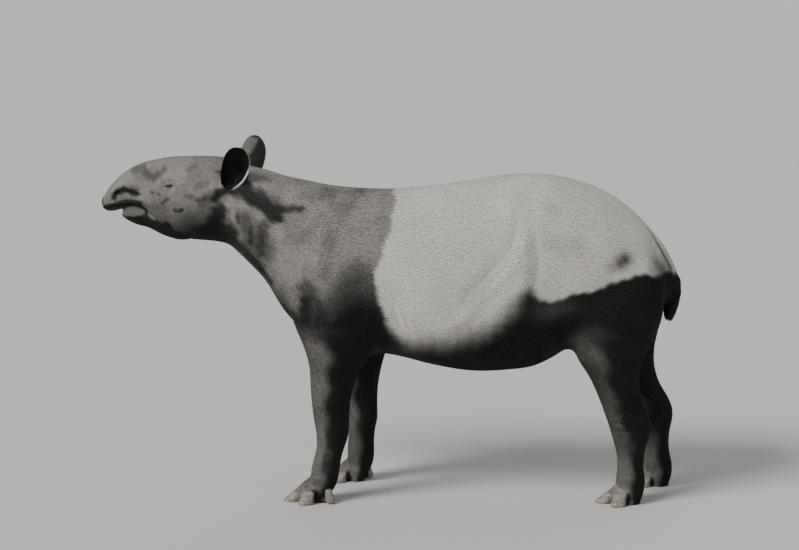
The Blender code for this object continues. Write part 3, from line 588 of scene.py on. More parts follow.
def finer(made, where):
    """Halves the size of the faces in a region."""
    mesh = bmesh.new()
    mesh.from_mesh(made.data)
    points = points_of(made)
    inside = where(points)
    edges = [edge for edge in mesh.edges if inside[edge.verts[0].index] and inside[edge.verts[1].index]]
    bmesh.ops.subdivide_edges(mesh, edges=edges, cuts=1, use_grid_fill=True)
    mesh.to_mesh(made.data)
    mesh.free()
    return made


def everywhere(points):
    """One at every point."""
    return np.ones(len(points))


def plain_hide():
    """The flesh in one closed surface with its muscles, the head still straight ahead."""
    forms = [lengthwise("trunk", TRUNK, TRUNK_SQUARENESS), lengthwise("skull", SKULL, HEAD_SQUARENESS)]
    forms += [limb(leg) for leg in SIDES]
    body = fuse("body", forms, COARSE_VOXEL)
    fill_creases(body, 90, lambda p: smoothstep(0.33, 0.46, p[:, 2]) * smoothstep(-0.62, -0.50, p[:, 0]))
    relax(body, 20, lambda p: smoothstep(0.22, 0.40, p[:, 2]) * smoothstep(-0.66, -0.56, p[:, 0]))
    forms = [body, tail(), lengthwise("jaw", JAW, HEAD_SQUARENESS), lengthwise("mouth", MOUTH, 2.0)]
    for leg in SIDES:
        forms += [toe(leg, *place) for place in toe_places(leg)]
    made = fuse("hide", forms, SKIN_VOXEL)
    relax(made, 8, everywhere)
    for _, path, reach, lift in BODY_STROKES:
        stroke(made, path, reach, lift)
    for kind, _, path, reach, lift in LEG_STROKES:
        leg_stroke(made, kind, path, reach, lift)
    return made


hide = plain_hide()
finer(hide, lambda p: (p[:, 0] < -0.50) | (p[:, 2] < 0.105))
relax(hide, 6, everywhere)
for _, path, reach, lift in HEAD_STROKES:
    stroke(hide, path, reach, lift)
relax(hide, 4, everywhere)


# The face
# The naked-edged openings of the head: two small eyes under heavy lids, nostrils at the end of the
# short trunk, and the mouth below it. The skin is made finer there, then creased and opened.
EYE_RADIUS = 0.0165
EYE_CENTRE = (-0.697, 0.0792, 1.003)
EYE_FACING = (-0.20, 0.965, 0.12)
LID_THICKNESS = 0.0016
LID_BLEND = 0.0045
LID_HALF_LENGTH = 0.0135
UPPER_LID_RISE = -0.0022
LOWER_LID_DROP = 0.0060
NOSTRIL_CENTRE = (-0.9560, 0.0188, 0.9430)
NOSTRIL_FACING = (-0.80, 0.50, 0.34)
NOSTRIL_HALF_SIZES = (0.0040, 0.0068)
NOSTRIL_DEPTH = 0.011
WRINKLE_HEIGHT = 0.00032
WIDE_WRINKLE = 0.0078
FINE_WRINKLE = 0.0049

# Creases of the head: name, path, how wide, how far it lifts
CREASES = (
    (
        "fold over the lip",
        (
            (-0.806, 0.068, 0.967), (-0.830, 0.063, 0.971), (-0.856, 0.059, 0.977), (-0.880, 0.055, 0.979),
            (-0.897, 0.051, 0.971), (-0.909, 0.048, 0.957), (-0.915, 0.046, 0.945),
        ),
        0.0165, -0.0110,
    ),
    (
        "edge of the trunk over that fold",
        ((-0.815, 0.067, 0.988), (-0.850, 0.062, 0.997), (-0.890, 0.055, 0.997), (-0.924, 0.047, 0.968)),
        0.015, 0.0038,
    ),
    (
        "upper lip",
        ((-0.800, 0.067, 0.950), (-0.835, 0.062, 0.951), (-0.868, 0.057, 0.951), (-0.894, 0.051, 0.942)),
        0.012, 0.0046,
    ),
    (
        "line of the mouth",
        (
            (-0.787, 0.068, 0.909), (-0.796, 0.067, 0.922), (-0.812, 0.063, 0.933), (-0.840, 0.056, 0.934),
            (-0.864, 0.050, 0.930), (-0.888, 0.036, 0.922),
        ),
        0.0125, -0.0125,
    ),
    ("corner of the mouth", ((-0.780, 0.069, 0.912), (-0.784, 0.067, 0.898)), 0.008, -0.003),
    (
        "lower lip",
        ((-0.808, 0.056, 0.906), (-0.840, 0.052, 0.908), (-0.868, 0.043, 0.906), (-0.890, 0.020, 0.902)),
        0.016, 0.0052,
    ),
    (
        "groove under the lip",
        ((-0.800, 0.050, 0.886), (-0.840, 0.046, 0.887), (-0.880, 0.028, 0.889)), 0.011, -0.0038,
    ),
    (
        "ridge of the snout",
        ((-0.880, 0.018, 1.036), (-0.912, 0.017, 1.006), (-0.940, 0.015, 0.972)), 0.007, -0.0016,
    ),
    (
        "second lid fold",
        ((-0.666, 0.094, 1.008), (-0.689, 0.093, 1.0195), (-0.716, 0.086, 1.014)), 0.0060, -0.0018,
    ),
    (
        "second bag fold",
        ((-0.674, 0.096, 0.990), (-0.697, 0.095, 0.983), (-0.722, 0.087, 0.986)), 0.0070, -0.0016,
    ),
    (
        "tear groove",
        ((-0.711, 0.089, 0.997), (-0.728, 0.085, 0.988), (-0.748, 0.081, 0.981)), 0.0060, -0.0018,
    ),
    (
        "cheek crease",
        ((-0.734, 0.0887, 0.976), (-0.756, 0.083, 0.979), (-0.776, 0.0785, 0.987)), 0.0055, -0.0016,
    ),
    (
        "lower cheek crease",
        ((-0.684, 0.0950, 0.944), (-0.706, 0.0945, 0.957), (-0.728, 0.0939, 0.971)), 0.0070, -0.0028,
    ),
    (
        "jaw crease",
        ((-0.640, 0.1048, 0.921), (-0.662, 0.101, 0.926), (-0.690, 0.0974, 0.930)), 0.0080, -0.0030,
    ),
    ("chin crease", ((-0.700, 0.060, 0.852), (-0.745, 0.062, 0.876), (-0.790, 0.054, 0.896)), 0.010, -0.0020),
    ("ear crease", ((-0.560, 0.100, 1.010), (-0.548, 0.104, 0.980), (-0.545, 0.106, 0.945)), 0.014, -0.0022),
)


def around(place, facing, side):
    """The middle of an opening and its axes: out, forward along the head and up."""
    middle = Vector(place)
    middle.y *= side
    out = Vector((facing[0], facing[1] * side, facing[2])).normalized()
    forward = Vector((-1, 0, 0))
    forward = (forward - out * forward.dot(out)).normalized()
    up = out.cross(forward) * side
    return np.array(middle), np.array(out), np.array(forward), np.array(up * (1 if up.z > 0 else -1))


def lids(made):
    """Draws the skin over each eyeball and parts it in an almond between the lids."""
    points = points_of(made)
    for side in (1.0, -1.0):
        middle, out, forward, up = around(EYE_CENTRE, EYE_FACING, side)
        reach = points - middle
        near = np.linalg.norm(reach, axis=1) < 0.034
        ahead, above, height = reach[near] @ forward, reach[near] @ up, reach[near] @ out
        off = np.hypot(ahead, above)
        over = EYE_RADIUS + LID_THICKNESS
        dome = np.sqrt(np.maximum(over**2 - off**2, 0))
        ball = np.where(off < over * 0.9, dome, over * 0.436 - (off - over * 0.9) * 2.1)
        blend = np.maximum(LID_BLEND - np.abs(ball - height), 0) / LID_BLEND
        lifted = np.maximum(ball, height) + blend**2 * LID_BLEND / 4 * (off < over)
        share = ahead / LID_HALF_LENGTH
        arch = np.clip(1 - share**2, -1.5, 1)
        tilt = 0.0028 - 0.0016 * share
        inside = np.minimum(UPPER_LID_RISE * arch + tilt - above, above - tilt + LOWER_LID_DROP * arch)
        lip = 0.0007 * np.exp(-((inside + 0.0012) / 0.0011) ** 2) * (off < EYE_RADIUS)
        opened = smoothstep(-0.0004, 0.0007, inside) * (height > 0)
        moved = lifted + lip - opened * (LID_THICKNESS + 0.0045) - height
        points[near] += moved[:, None] * out
    set_points(made, points)


def nostrils(made):
    """Opens a slanting nostril with a raised rim on each side of the snout's end."""
    points = points_of(made)
    for side in (1.0, -1.0):
        middle, out, forward, up = around(NOSTRIL_CENTRE, NOSTRIL_FACING, side)
        reach = points - middle
        near = np.linalg.norm(reach, axis=1) < 0.022
        ahead, above = reach[near] @ forward, reach[near] @ up
        slant = ahead + 0.45 * above
        size = np.hypot(slant / NOSTRIL_HALF_SIZES[0], above / NOSTRIL_HALF_SIZES[1])
        rim = 0.0016 * np.exp(-((size - 1.45) / 0.42) ** 2)
        hole = NOSTRIL_DEPTH * smoothstep(1.15, 0.35, size)
        points[near] += (rim - hole)[:, None] * out
    set_points(made, points)


def snout_wrinkles(made):
    """Fine folds round the short trunk, where it shortens and bends."""
    points = points_of(made)
    normals = normals_of(made)
    x, y, z = points.T
    along = x * 0.86 - z * 0.50
    wander = 0.0022 * np.sin(z * 95 + 3) + 0.0018 * np.sin(y * 160 + x * 60)
    folds = np.cos(2 * np.pi * (along + wander) / WIDE_WRINKLE)
    folds = folds + 0.5 * np.cos(2 * np.pi * (along - wander) / FINE_WRINKLE)
    where = smoothstep(-0.835, -0.880, x) * smoothstep(-0.962, -0.945, x) * smoothstep(0.950, 0.975, z)
    points += normals * (WRINKLE_HEIGHT * folds * where)[:, None]
    set_points(made, points)


finer(
    hide,
    lambda p: (p[:, 0] < -0.775)
    | (np.hypot(p[:, 0] - EYE_CENTRE[0], p[:, 2] - EYE_CENTRE[2]) < 0.036),
)
relax(hide, 4, lambda p: smoothstep(-0.60, -0.64, p[:, 0]))
for _, path, reach, lift in CREASES:
    stroke(hide, path, reach, lift, crease=True)
relax(hide, 2, lambda p: smoothstep(-0.60, -0.64, p[:, 0]))
snout_wrinkles(hide)
finer(
    hide,
    lambda p: (np.hypot(p[:, 0] - EYE_CENTRE[0], p[:, 2] - EYE_CENTRE[2]) < 0.022) & (abs(p[:, 1]) > 0.05)
    | (np.hypot(p[:, 0] - NOSTRIL_CENTRE[0], p[:, 2] - NOSTRIL_CENTRE[2]) < 0.020),
)
lids(hide)
nostrils(hide)


# The skin of the body and feet
# Loose folds where the neck, elbow and flank bend, and flat pads that stand on the ground. The head is
# then turned, and the whole skin drawn in by the depth of the coat.
BODY_CREASES = (
    ("neck fold", ((-0.492, 0.102, 0.935), (-0.488, 0.104, 0.900), (-0.492, 0.100, 0.868)), 0.014, -0.0038),
    (
        "second neck fold",
        ((-0.430, 0.114, 0.920), (-0.424, 0.117, 0.880), (-0.432, 0.115, 0.820)), 0.016, -0.0040,
    ),
    (
        "third neck fold",
        ((-0.392, 0.120, 0.900), (-0.384, 0.124, 0.850), (-0.392, 0.120, 0.800)), 0.016, -0.0030,
    ),
    ("elbow fold", ((0.020, 0.240, 0.655), (0.033, 0.236, 0.614), (0.050, 0.226, 0.570)), 0.016, -0.0030),
    (
        "second elbow fold",
        ((0.046, 0.246, 0.640), (0.062, 0.240, 0.600), (0.074, 0.230, 0.565)), 0.014, -0.0018,
    ),
    (
        "fold before the shoulder",
        ((-0.286, 0.190, 0.690), (-0.290, 0.184, 0.640), (-0.270, 0.176, 0.585)), 0.030, -0.0075,
    ),
    ("armpit", ((-0.060, 0.215, 0.560), (-0.030, 0.200, 0.510), (-0.010, 0.170, 0.470)), 0.024, -0.0050),
    ("flank fold", ((0.560, 0.225, 0.600), (0.545, 0.205, 0.545), (0.552, 0.170, 0.490)), 0.022, -0.0045),
    (
        "ridge of the last ribs",
        (
            (0.434, 0.188, 0.958), (0.428, 0.240, 0.856), (0.388, 0.260, 0.780), (0.321, 0.266, 0.703),
            (0.250, 0.262, 0.630), (0.190, 0.250, 0.585),
        ),
        0.048, 0.0052,
    ),
    (
        "hollow before the last ribs",
        ((0.405, 0.200, 0.930), (0.385, 0.250, 0.838), (0.321, 0.264, 0.762), (0.244, 0.267, 0.684)),
        0.050, -0.0040,
    ),
    (
        "hollow behind the ribs",
        ((0.462, 0.232, 0.870), (0.472, 0.250, 0.786), (0.452, 0.254, 0.700)), 0.058, -0.0052,
    ),
    ("rump fold", ((0.878, 0.060, 0.760), (0.894, 0.050, 0.720), (0.896, 0.040, 0.680)), 0.014, -0.0035),
)
LEG_CREASES = (
    (
        "front", "wrist fold",
        ((-0.246, 0.160, 0.176), (-0.215, 0.182, 0.172), (-0.180, 0.184, 0.176)), 0.010, -0.0018,
    ),
    (
        "front", "lower wrist fold",
        ((-0.244, 0.160, 0.158), (-0.215, 0.180, 0.153), (-0.175, 0.182, 0.158)), 0.009, -0.0014,
    ),
    (
        "front", "fetlock fold",
        ((-0.262, 0.160, 0.096), (-0.225, 0.184, 0.092), (-0.180, 0.180, 0.098)), 0.016, -0.0008,
    ),
    (
        "front", "heel fold",
        ((-0.150, 0.150, 0.110), (-0.158, 0.165, 0.080), (-0.172, 0.172, 0.060)), 0.010, -0.0018,
    ),
    (
        "hind", "hock fold",
        ((0.706, 0.150, 0.262), (0.735, 0.168, 0.268), (0.765, 0.170, 0.262)), 0.012, -0.0012,
    ),
    (
        "hind", "lower hock fold",
        ((0.712, 0.150, 0.238), (0.740, 0.166, 0.243), (0.770, 0.168, 0.236)), 0.011, -0.0009,
    ),
    (
        "hind", "fetlock fold",
        ((0.728, 0.145, 0.100), (0.760, 0.164, 0.096), (0.805, 0.162, 0.100)), 0.016, -0.0006,
    ),
)
SOLE_HEIGHT = 0.0006


def stand(made):
    """Cuts the feet flat just above the ground."""
    mesh = bmesh.new()
    mesh.from_mesh(made.data)
    every = mesh.verts[:] + mesh.edges[:] + mesh.faces[:]
    bmesh.ops.bisect_plane(
        mesh, geom=every, plane_co=(0, 0, SOLE_HEIGHT), plane_no=(0, 0, 1), clear_inner=True
    )
    bmesh.ops.holes_fill(mesh, edges=[edge for edge in mesh.edges if edge.is_boundary], sides=0)
    bmesh.ops.triangulate(mesh, faces=mesh.faces[:])
    mesh.to_mesh(made.data)
    mesh.free()


for _, path, reach, lift in BODY_CREASES:
    stroke(hide, path, reach, lift, crease=True)
for kind, _, path, reach, lift in LEG_CREASES:
    leg_stroke(hide, kind, path, reach, lift, crease=True)
set_points(hide, turned(points_of(hide)))
set_points(hide, points_of(hide) - normals_of(hide) * COAT_DEPTH)
stand(hide)


# The ears
# Two upright oval ears, cupped sheets of skin over thin gristle, the near one turned to show its hollow.
# Each grows out of the head as a rolled tube and thins to a soft rim, which is white at the back edge.
EARS = {
    "left_ear": {
        "root": (-0.522, -0.046, 0.996), "tip": (-0.462, -0.124, 1.130),
        "opening": (-0.10, -0.99, 0.02), "width": 0.090, "lean_back": 0.028,
    },
    "right_ear": {
        "root": (-0.485, 0.106, 1.000), "tip": (-0.447, 0.170, 1.151),
        "opening": (-0.45, 0.88, 0.05), "width": 0.089, "lean_back": 0.030,
    },
}
# Along the ear: share of its length, share of its width, and how far the sheet curls round, in degrees
EAR_OUTLINE = (
    (0.00, 0.40, 150.0), (0.15, 0.62, 128.0), (0.35, 0.90, 88.0), (0.55, 1.00, 68.0),
    (0.75, 0.93, 56.0), (0.88, 0.74, 50.0), (0.96, 0.46, 48.0), (1.00, 0.20, 46.0),
)
EAR_STEPS = 44
EAR_ACROSS = 36
EAR_ROOT_THICKNESS = 0.0050
EAR_RIM_THICKNESS = 0.0019
EAR_RIDGES = 4
EAR_RIDGE_HEIGHT = 0.0011
EAR_CANAL_DEPTH = 0.024


def ear_axes(ear):
    """An ear's root, its length, and its axes: along it, out of its hollow and across it."""
    root, tip = np.array(ear["root"]), np.array(ear["tip"])
    length = np.linalg.norm(tip - root)
    axis = (tip - root) / length
    opening = np.array(ear["opening"])
    opening = opening - axis * (opening @ axis)
    opening = opening / np.linalg.norm(opening)
    return root, length, axis, opening, np.cross(axis, opening)


def ear_bend(ear, share):
    """Along an ear: how far it curls to each side, its radius, and how far its middle stands forward."""
    width, curl = curve_through(EAR_OUTLINE)(share).T
    curl = np.radians(curl)
    half_turn = np.minimum(curl, math.pi / 2)
    radius = width * ear["width"] / (2 * np.sin(half_turn))
    return curl, radius, radius * np.cos(half_turn) - ear["lean_back"] * share * (1 - share)


def ear_shell(name, ear):
    """An ear as one closed sheet with a back, a ridged hollow side and a rounded rim."""
    root, length, axis, opening, across = ear_axes(ear)
    share = np.sin(0.5 * math.pi * np.linspace(0, 1, EAR_STEPS + 1))
    curl, radius, forward = ear_bend(ear, share)
    edge = np.linspace(-1, 1, EAR_ACROSS + 1)
    turn = curl[:, None] * edge
    out = across * np.sin(turn)[..., None] - opening * np.cos(turn)[..., None]
    middle = root + axis * (length * share)[:, None] + opening * forward[:, None]
    sheet = middle[:, None] + out * radius[:, None, None]
    fullness = np.sqrt(1 - 0.97 * edge**4) * (1 - 0.72 * share[:, None] ** 1.5)
    half = (EAR_RIM_THICKNESS + (EAR_ROOT_THICKNESS - EAR_RIM_THICKNESS) * fullness) / 2
    ridge = np.cos(math.pi * EAR_RIDGES * edge) * smoothstep(0.9, 0.5, abs(edge))
    ridge = ridge * (smoothstep(0.12, 0.30, share) * smoothstep(0.85, 0.55, share))[:, None]
    back = sheet + out * half[..., None]
    hollow = sheet - out * (half + EAR_RIDGE_HEIGHT * ridge)[..., None]
    mesh = bmesh.new()
    sides = [[[mesh.verts.new(point) for point in row] for row in grid] for grid in (back, hollow)]
    for grid in sides:
        for near, far in zip(grid, grid[1:]):
            for k in range(EAR_ACROSS):
                mesh.faces.new((near[k], near[k + 1], far[k + 1], far[k]))
    rims = []
    for grid in sides:
        rim = grid[0] + [row[-1] for row in grid[1:]] + grid[-1][-2::-1] + [row[0] for row in grid[-2:0:-1]]
        rims.append(rim)
    for k in range(len(rims[0])):
        mesh.faces.new((rims[0][k - 1], rims[0][k], rims[1][k], rims[1][k - 1]))
    bmesh.ops.triangulate(mesh, faces=mesh.faces[:])
    return mesh_object(name, mesh)


def ear_coordinates(ear, points):
    """Where points lie on an ear: share of its length, share of its curl, and distance from its sheet."""
    root, length, axis, opening, across = ear_axes(ear)
    reach = points - root
    share = reach @ axis / length
    curl, radius, forward = ear_bend(ear, np.clip(share, 0, 1))
    ahead = reach @ opening - forward
    sideways = reach @ across
    return share, np.arctan2(sideways, -ahead) / curl, np.hypot(ahead, sideways) - radius


def rooted(made, piece):
    """Joins a piece to the skin in one closed surface."""
    join = made.modifiers.new("root", "BOOLEAN")
    join.operation = "UNION"
    join.solver = "MANIFOLD"
    join.object = piece
    before = len(made.data.vertices)
    settled(made)
    assert len(made.data.vertices) > before, piece.name
    bpy.data.objects.remove(piece)


def near_ear_roots(points):
    """One where the skin runs up into an ear, none further off."""
    weight = np.zeros(len(points))
    for ear in EARS.values():
        share, _, off = ear_coordinates(ear, points)
        low = smoothstep(0.55, 0.34, share) * smoothstep(-0.35, -0.10, share)
        weight = np.maximum(weight, smoothstep(0.022, 0.004, abs(off)) * low)
    return weight


for name, ear in EARS.items():
    points = points_of(hide)
    share, _, off = ear_coordinates(ear, points)
    inside = smoothstep(-0.003, -0.013, off) * smoothstep(-0.12, 0.02, share) * (share < 0.6)
    points -= ear_axes(ear)[2] * (EAR_CANAL_DEPTH * inside)[:, None]
    set_points(hide, points)
    rooted(hide, ear_shell(name, ear))
relax(hide, 14, near_ear_roots)
smooth_shaded(hide)
flesh = [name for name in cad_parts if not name.endswith(("_hoof", "_eye"))]
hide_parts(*flesh)
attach(hide, "root")


# The markings and the colour of the hide
# Black before and below, with a grey-white saddle from behind the shoulders over the rump. The saddle's
# front edge is crisp, its lower edge soft. Head, neck and shoulders are greyed by worn, dusty hair and by a
# painted sheen, lightest where they face up and towards the light; painted shade darkens creases, hollows,
# undersides, the backs of the ears and the neck under the ear. Lips, nostrils, lids and the hollows of the
# ears are nearly bare.

# Round the saddle: x, height, and how soft the border is
SADDLE_EDGE = (
    (0.020, 1.200, 0.009), (0.011, 0.995, 0.009), (0.019, 0.957, 0.009), (0.006, 0.883, 0.008),
    (-0.020, 0.808, 0.008), (-0.036, 0.768, 0.008), (-0.040, 0.728, 0.009), (-0.029, 0.687, 0.010),
    (-0.014, 0.626, 0.012), (0.007, 0.573, 0.020), (0.025, 0.542, 0.032), (0.069, 0.517, 0.052),
    (0.104, 0.516, 0.062), (0.163, 0.524, 0.066), (0.254, 0.548, 0.068), (0.344, 0.594, 0.064),
    (0.389, 0.643, 0.056), (0.420, 0.694, 0.040), (0.436, 0.712, 0.026), (0.454, 0.694, 0.022),
    (0.476, 0.671, 0.014), (0.498, 0.667, 0.010), (0.547, 0.678, 0.010), (0.618, 0.698, 0.010),
    (0.689, 0.719, 0.011), (0.742, 0.742, 0.010), (0.795, 0.748, 0.009), (0.849, 0.746, 0.008),
    (0.896, 0.742, 0.008), (1.000, 0.738, 0.008), (1.000, 1.200, 0.008),
)
# Dark flecks on the rump: place, radius and strength
FLECKS = (
    ((0.740, -0.205, 0.798), 0.026, 1.00), ((0.726, -0.212, 0.789), 0.028, 0.90),
    ((0.703, -0.220, 0.777), 0.021, 0.50), ((0.850, -0.140, 0.776), 0.038, 0.66),
    ((0.868, -0.125, 0.758), 0.040, 0.78), ((0.826, -0.168, 0.755), 0.028, 0.46),
    ((0.470, -0.245, 0.840), 0.013, 0.30), ((0.555, -0.240, 0.850), 0.014, 0.28),
    ((0.505, -0.215, 0.960), 0.020, 0.22), ((0.455, -0.250, 0.740), 0.030, 0.22),
    ((0.760, 0.200, 0.805), 0.020, 0.75), ((0.690, 0.222, 0.770), 0.014, 0.45),
)
# Painted shade in hollows of the saddle, before and behind the last ribs and on the flank, on both sides:
# how wide, how strong, and a path
SADDLE_PAINTED_SHADE = (
    (
        0.026, 0.16,
        (
            (0.413, 0.160, 0.987), (0.405, 0.223, 0.898), (0.382, 0.252, 0.824), (0.321, 0.264, 0.755),
            (0.244, 0.267, 0.677),
        ),
    ),
    (0.024, 0.17, ((0.447, 0.238, 0.855), (0.453, 0.253, 0.786), (0.444, 0.257, 0.724))),
    (0.034, 0.18, ((0.499, 0.235, 0.852), (0.542, 0.235, 0.840), (0.592, 0.231, 0.840))),
    (0.022, 0.14, ((0.505, 0.190, 0.956), (0.518, 0.197, 0.942))),
)
# Painted shade in the crease beside the tail root, on both sides, and how wide it is at each height
TAIL_CREASE_SHADE = ((0.821, 0.058, 0.876), (0.852, 0.076, 0.831), (0.874, 0.083, 0.791), (0.893, 0.076, 0.754))
TAIL_CREASE_SHADE_WIDTHS = ((0.750, 0.830, 0.870), (0.015, 0.009, 0.004))
LIP_LINES = (CREASES[3][1], CREASES[4][1])
# Along the head, the height below which the jaw is black, without dust or painted sheen, in painted shade
JAW_SHADE = (
    (-0.960, -0.870, -0.845, -0.799, -0.780, -0.744, -0.704, -0.688, -0.625, -0.595, -0.560, -0.520, -0.500),
    (0.900, 0.884, 0.888, 0.903, 0.891, 0.884, 0.880, 0.853, 0.853, 0.872, 0.892, 0.890, 0.860),
)
# Streaks of painted shade, with some darker hair, on the greyed head and neck: the ear's shadow cast on the
# neck, and shade in the folds, round the mouth and under the jaw. Each: how wide, how strong, and a path of
# x and height with the head straight ahead
SHADE_AND_DARK_HAIR_STREAKS = (
    (0.012, 0.50, ((-0.841, 1.047), (-0.806, 1.052), (-0.777, 1.030), (-0.755, 1.026), (-0.722, 1.054))),
    (0.020, 0.22, ((-0.820, 1.030), (-0.770, 1.045))),
    (0.009, 0.35, ((-0.639, 1.055), (-0.619, 1.065))),
    (0.005, 0.60, ((-0.765, 0.981), (-0.758, 0.978))),
    (0.004, 0.55, ((-0.740, 0.975), (-0.733, 0.975))),
    (0.0090, 0.94, ((-0.907, 0.957), (-0.896, 0.972))),
    (0.0115, 0.94, ((-0.890, 0.976), (-0.872, 0.983), (-0.847, 0.979), (-0.824, 0.973))),
    (0.010, 0.45, ((-0.865, 0.990), (-0.819, 0.991))),
    (0.0085, 0.97, ((-0.944, 0.923), (-0.906, 0.929), (-0.884, 0.931), (-0.861, 0.935), (-0.816, 0.935))),
    (0.0075, 0.92, ((-0.814, 0.932), (-0.797, 0.921), (-0.796, 0.905), (-0.815, 0.892), (-0.862, 0.887))),
    (0.009, 0.90, ((-0.845, 0.882), (-0.794, 0.890), (-0.762, 0.876))),
    (0.006, 0.55, ((-0.725, 0.947), (-0.704, 0.961))),
    (0.005, 0.80, ((-0.683, 0.926), (-0.671, 0.922))),
    (0.006, 0.90, ((-0.662, 0.924), (-0.652, 0.929))),
    (0.007, 0.45, ((-0.636, 0.975), (-0.614, 0.973))),
    (0.008, 0.55, ((-0.598, 0.964), (-0.573, 0.967))),
    (0.014, 0.40, ((-0.580, 0.950), (-0.550, 0.975))),
    (0.005, 0.60, ((-0.540, 1.052), (-0.520, 1.051))),
    (0.010, 0.30, ((-0.601, 1.003), (-0.568, 1.016))),
    (0.013, 0.95, ((-0.537, 0.968), (-0.527, 0.990), (-0.501, 0.992), (-0.473, 1.003), (-0.437, 1.012))),
    (0.029, 0.94, ((-0.465, 1.000), (-0.400, 0.970), (-0.360, 0.944), (-0.346, 0.926))),
    (0.011, 0.80, ((-0.345, 0.940), (-0.300, 0.942), (-0.272, 0.943))),
    (0.017, 0.90, ((-0.463, 1.008), (-0.424, 0.972), (-0.376, 0.937), (-0.343, 0.912))),
    (0.038, 0.50, ((-0.443, 0.907), (-0.406, 0.861), (-0.380, 0.809))),
    (0.030, 0.42, ((-0.625, 0.888), (-0.563, 0.922), (-0.537, 0.958))),
    (0.016, 0.25, ((-0.638, 0.928), (-0.662, 0.900))),
    (0.026, 0.93, ((-0.600, 0.848), (-0.560, 0.868), (-0.534, 0.905), (-0.524, 0.925))),
    (0.026, 0.93, ((-0.560, 0.850), (-0.520, 0.862), (-0.500, 0.870), (-0.490, 0.856))),
    (0.019, 0.90, ((-0.518, 0.842), (-0.484, 0.822), (-0.442, 0.785), (-0.402, 0.745))),
    (0.011, 0.80, ((-0.405, 0.742), (-0.372, 0.705))),
    (0.005, 0.55, ((-0.466, 0.925), (-0.464, 0.890))),
    (0.020, 0.42, ((-0.448, 0.906), (-0.435, 0.865), (-0.434, 0.816))),
    (0.008, 0.55, ((-0.421, 0.884), (-0.426, 0.830))),
    (0.019, 0.62, ((-0.380, 0.888), (-0.387, 0.852), (-0.396, 0.802))),
    (0.022, 0.26, ((-0.098, 0.986), (-0.143, 0.929), (-0.171, 0.880), (-0.184, 0.848), (-0.197, 0.742))),
    (0.018, 0.30, ((-0.266, 0.984), (-0.227, 0.984), (-0.190, 0.990))),
    (0.018, 0.22, ((-0.267, 0.843), (-0.244, 0.873))),
    (0.018, 0.85, ((-0.249, 0.668), (-0.257, 0.633), (-0.254, 0.584))),
    (0.032, 0.70, ((-0.246, 0.700), (-0.230, 0.655), (-0.212, 0.600))),
    (0.014, 0.80, ((-0.296, 0.617), (-0.277, 0.594))),
    (0.013, 0.24, ((-0.712, 1.010), (-0.684, 1.010))),
)


def saddle_depth(points):
    """How deep inside the saddle each point is, as a share of the border's softness nearest to it."""
    x, y, z = points.T
    x = x + 0.0030 * np.sin(z * 71 + y * 9) + 0.0016 * np.sin(z * 190 + 2)
    z = z + 0.0040 * np.sin(x * 57 + y * 14) + 0.0022 * np.sin(x * 160 + 1)
    nearest = np.full(len(x), np.inf)
    softness = np.zeros(len(x))
    inside = np.zeros(len(x), bool)
    for start, end in zip(SADDLE_EDGE, SADDLE_EDGE[1:] + SADDLE_EDGE[:1]):
        run, rise = end[0] - start[0], end[1] - start[1]
        t = np.clip(((x - start[0]) * run + (z - start[1]) * rise) / (run**2 + rise**2), 0, 1)
        far = np.hypot(x - start[0] - t * run, z - start[1] - t * rise)
        softness = np.where(far < nearest, start[2] + t * (end[2] - start[2]), softness)
        nearest = np.minimum(far, nearest)
        crossing = (start[1] > z) != (end[1] > z)
        inside ^= crossing & (x < start[0] + (z - start[1]) * run / (rise or 1e-9))
    return np.where(inside, nearest, -nearest) / softness


def on_one_side(points):
    """The points, with those on one side mirrored to the other."""
    return points * (1, 0, 1) + np.abs(points) * (0, 1, 0)


def bare_skin(straight, points):
    """One on the naked skin of the nostrils, lips, lids and ear hollows."""
    x, y, z = straight.T
    mirrored = on_one_side(straight)
    nose = np.linalg.norm(mirrored - NOSTRIL_CENTRE, axis=1)
    bare = np.maximum(smoothstep(0.017, 0.010, nose), smoothstep(-0.950, -0.957, x))
    for line in LIP_LINES:
        bare = np.maximum(bare, smoothstep(0.010, 0.005, nearest_on_path(mirrored, smooth_path(line))[0]))
    middle, out, forward, up = around(EYE_CENTRE, EYE_FACING, 1.0)
    reach = mirrored - middle
    ahead, above = reach @ forward, reach @ up
    opening = np.hypot(ahead / (LID_HALF_LENGTH + 0.0010), (above + 0.0012) / 0.0042)
    bare = np.maximum(bare, smoothstep(1.15, 0.95, opening) * (reach @ out > 0))
    for ear in EARS.values():
        share, edge, off = ear_coordinates(ear, points)
        hollow = smoothstep(0.0000, -0.0008, off) * smoothstep(-0.030, -0.025, off)
        deep = smoothstep(-0.25, -0.15, share) * smoothstep(0.97, 0.85, share)
        deep = deep * smoothstep(0.98, 0.86, abs(edge))
        bare = np.maximum(bare, 0.80 * hollow * deep)
    return bare


def ear_rims(points):
    """One on the white edge of each ear, low on its back margin, fading towards its tip."""
    rim = np.zeros(len(points))
    for ear in EARS.values():
        share, edge, off = ear_coordinates(ear, points)
        behind = edge * math.copysign(1, ear_axes(ear)[4][0])
        inmost = np.interp(share, (0.15, 0.35, 0.60), (0.68, 0.72, 0.80))
        margin = smoothstep(0.0, 0.10, behind - inmost) * smoothstep(0.10, 0.20, share)
        margin = margin * (1 - 0.62 * smoothstep(0.50, 0.72, share)) * smoothstep(1.0, 0.93, share)
        close = smoothstep(0.006, 0.003, abs(off)) * (share > 0) * (share < 1.1)
        rim = np.maximum(rim, margin * close)
    return rim


def lie_down(x, z):
    """One where the hair lies down the legs, chest and rump, none where it lies along the body."""
    legs = smoothstep(0.60, 0.44, z) * ((x < 0.08) | (x > 0.48))
    chest = smoothstep(-0.16, -0.26, x) * smoothstep(0.80, 0.64, z)
    return np.maximum.reduce([legs, chest, smoothstep(0.72, 0.86, x) * 0.9])


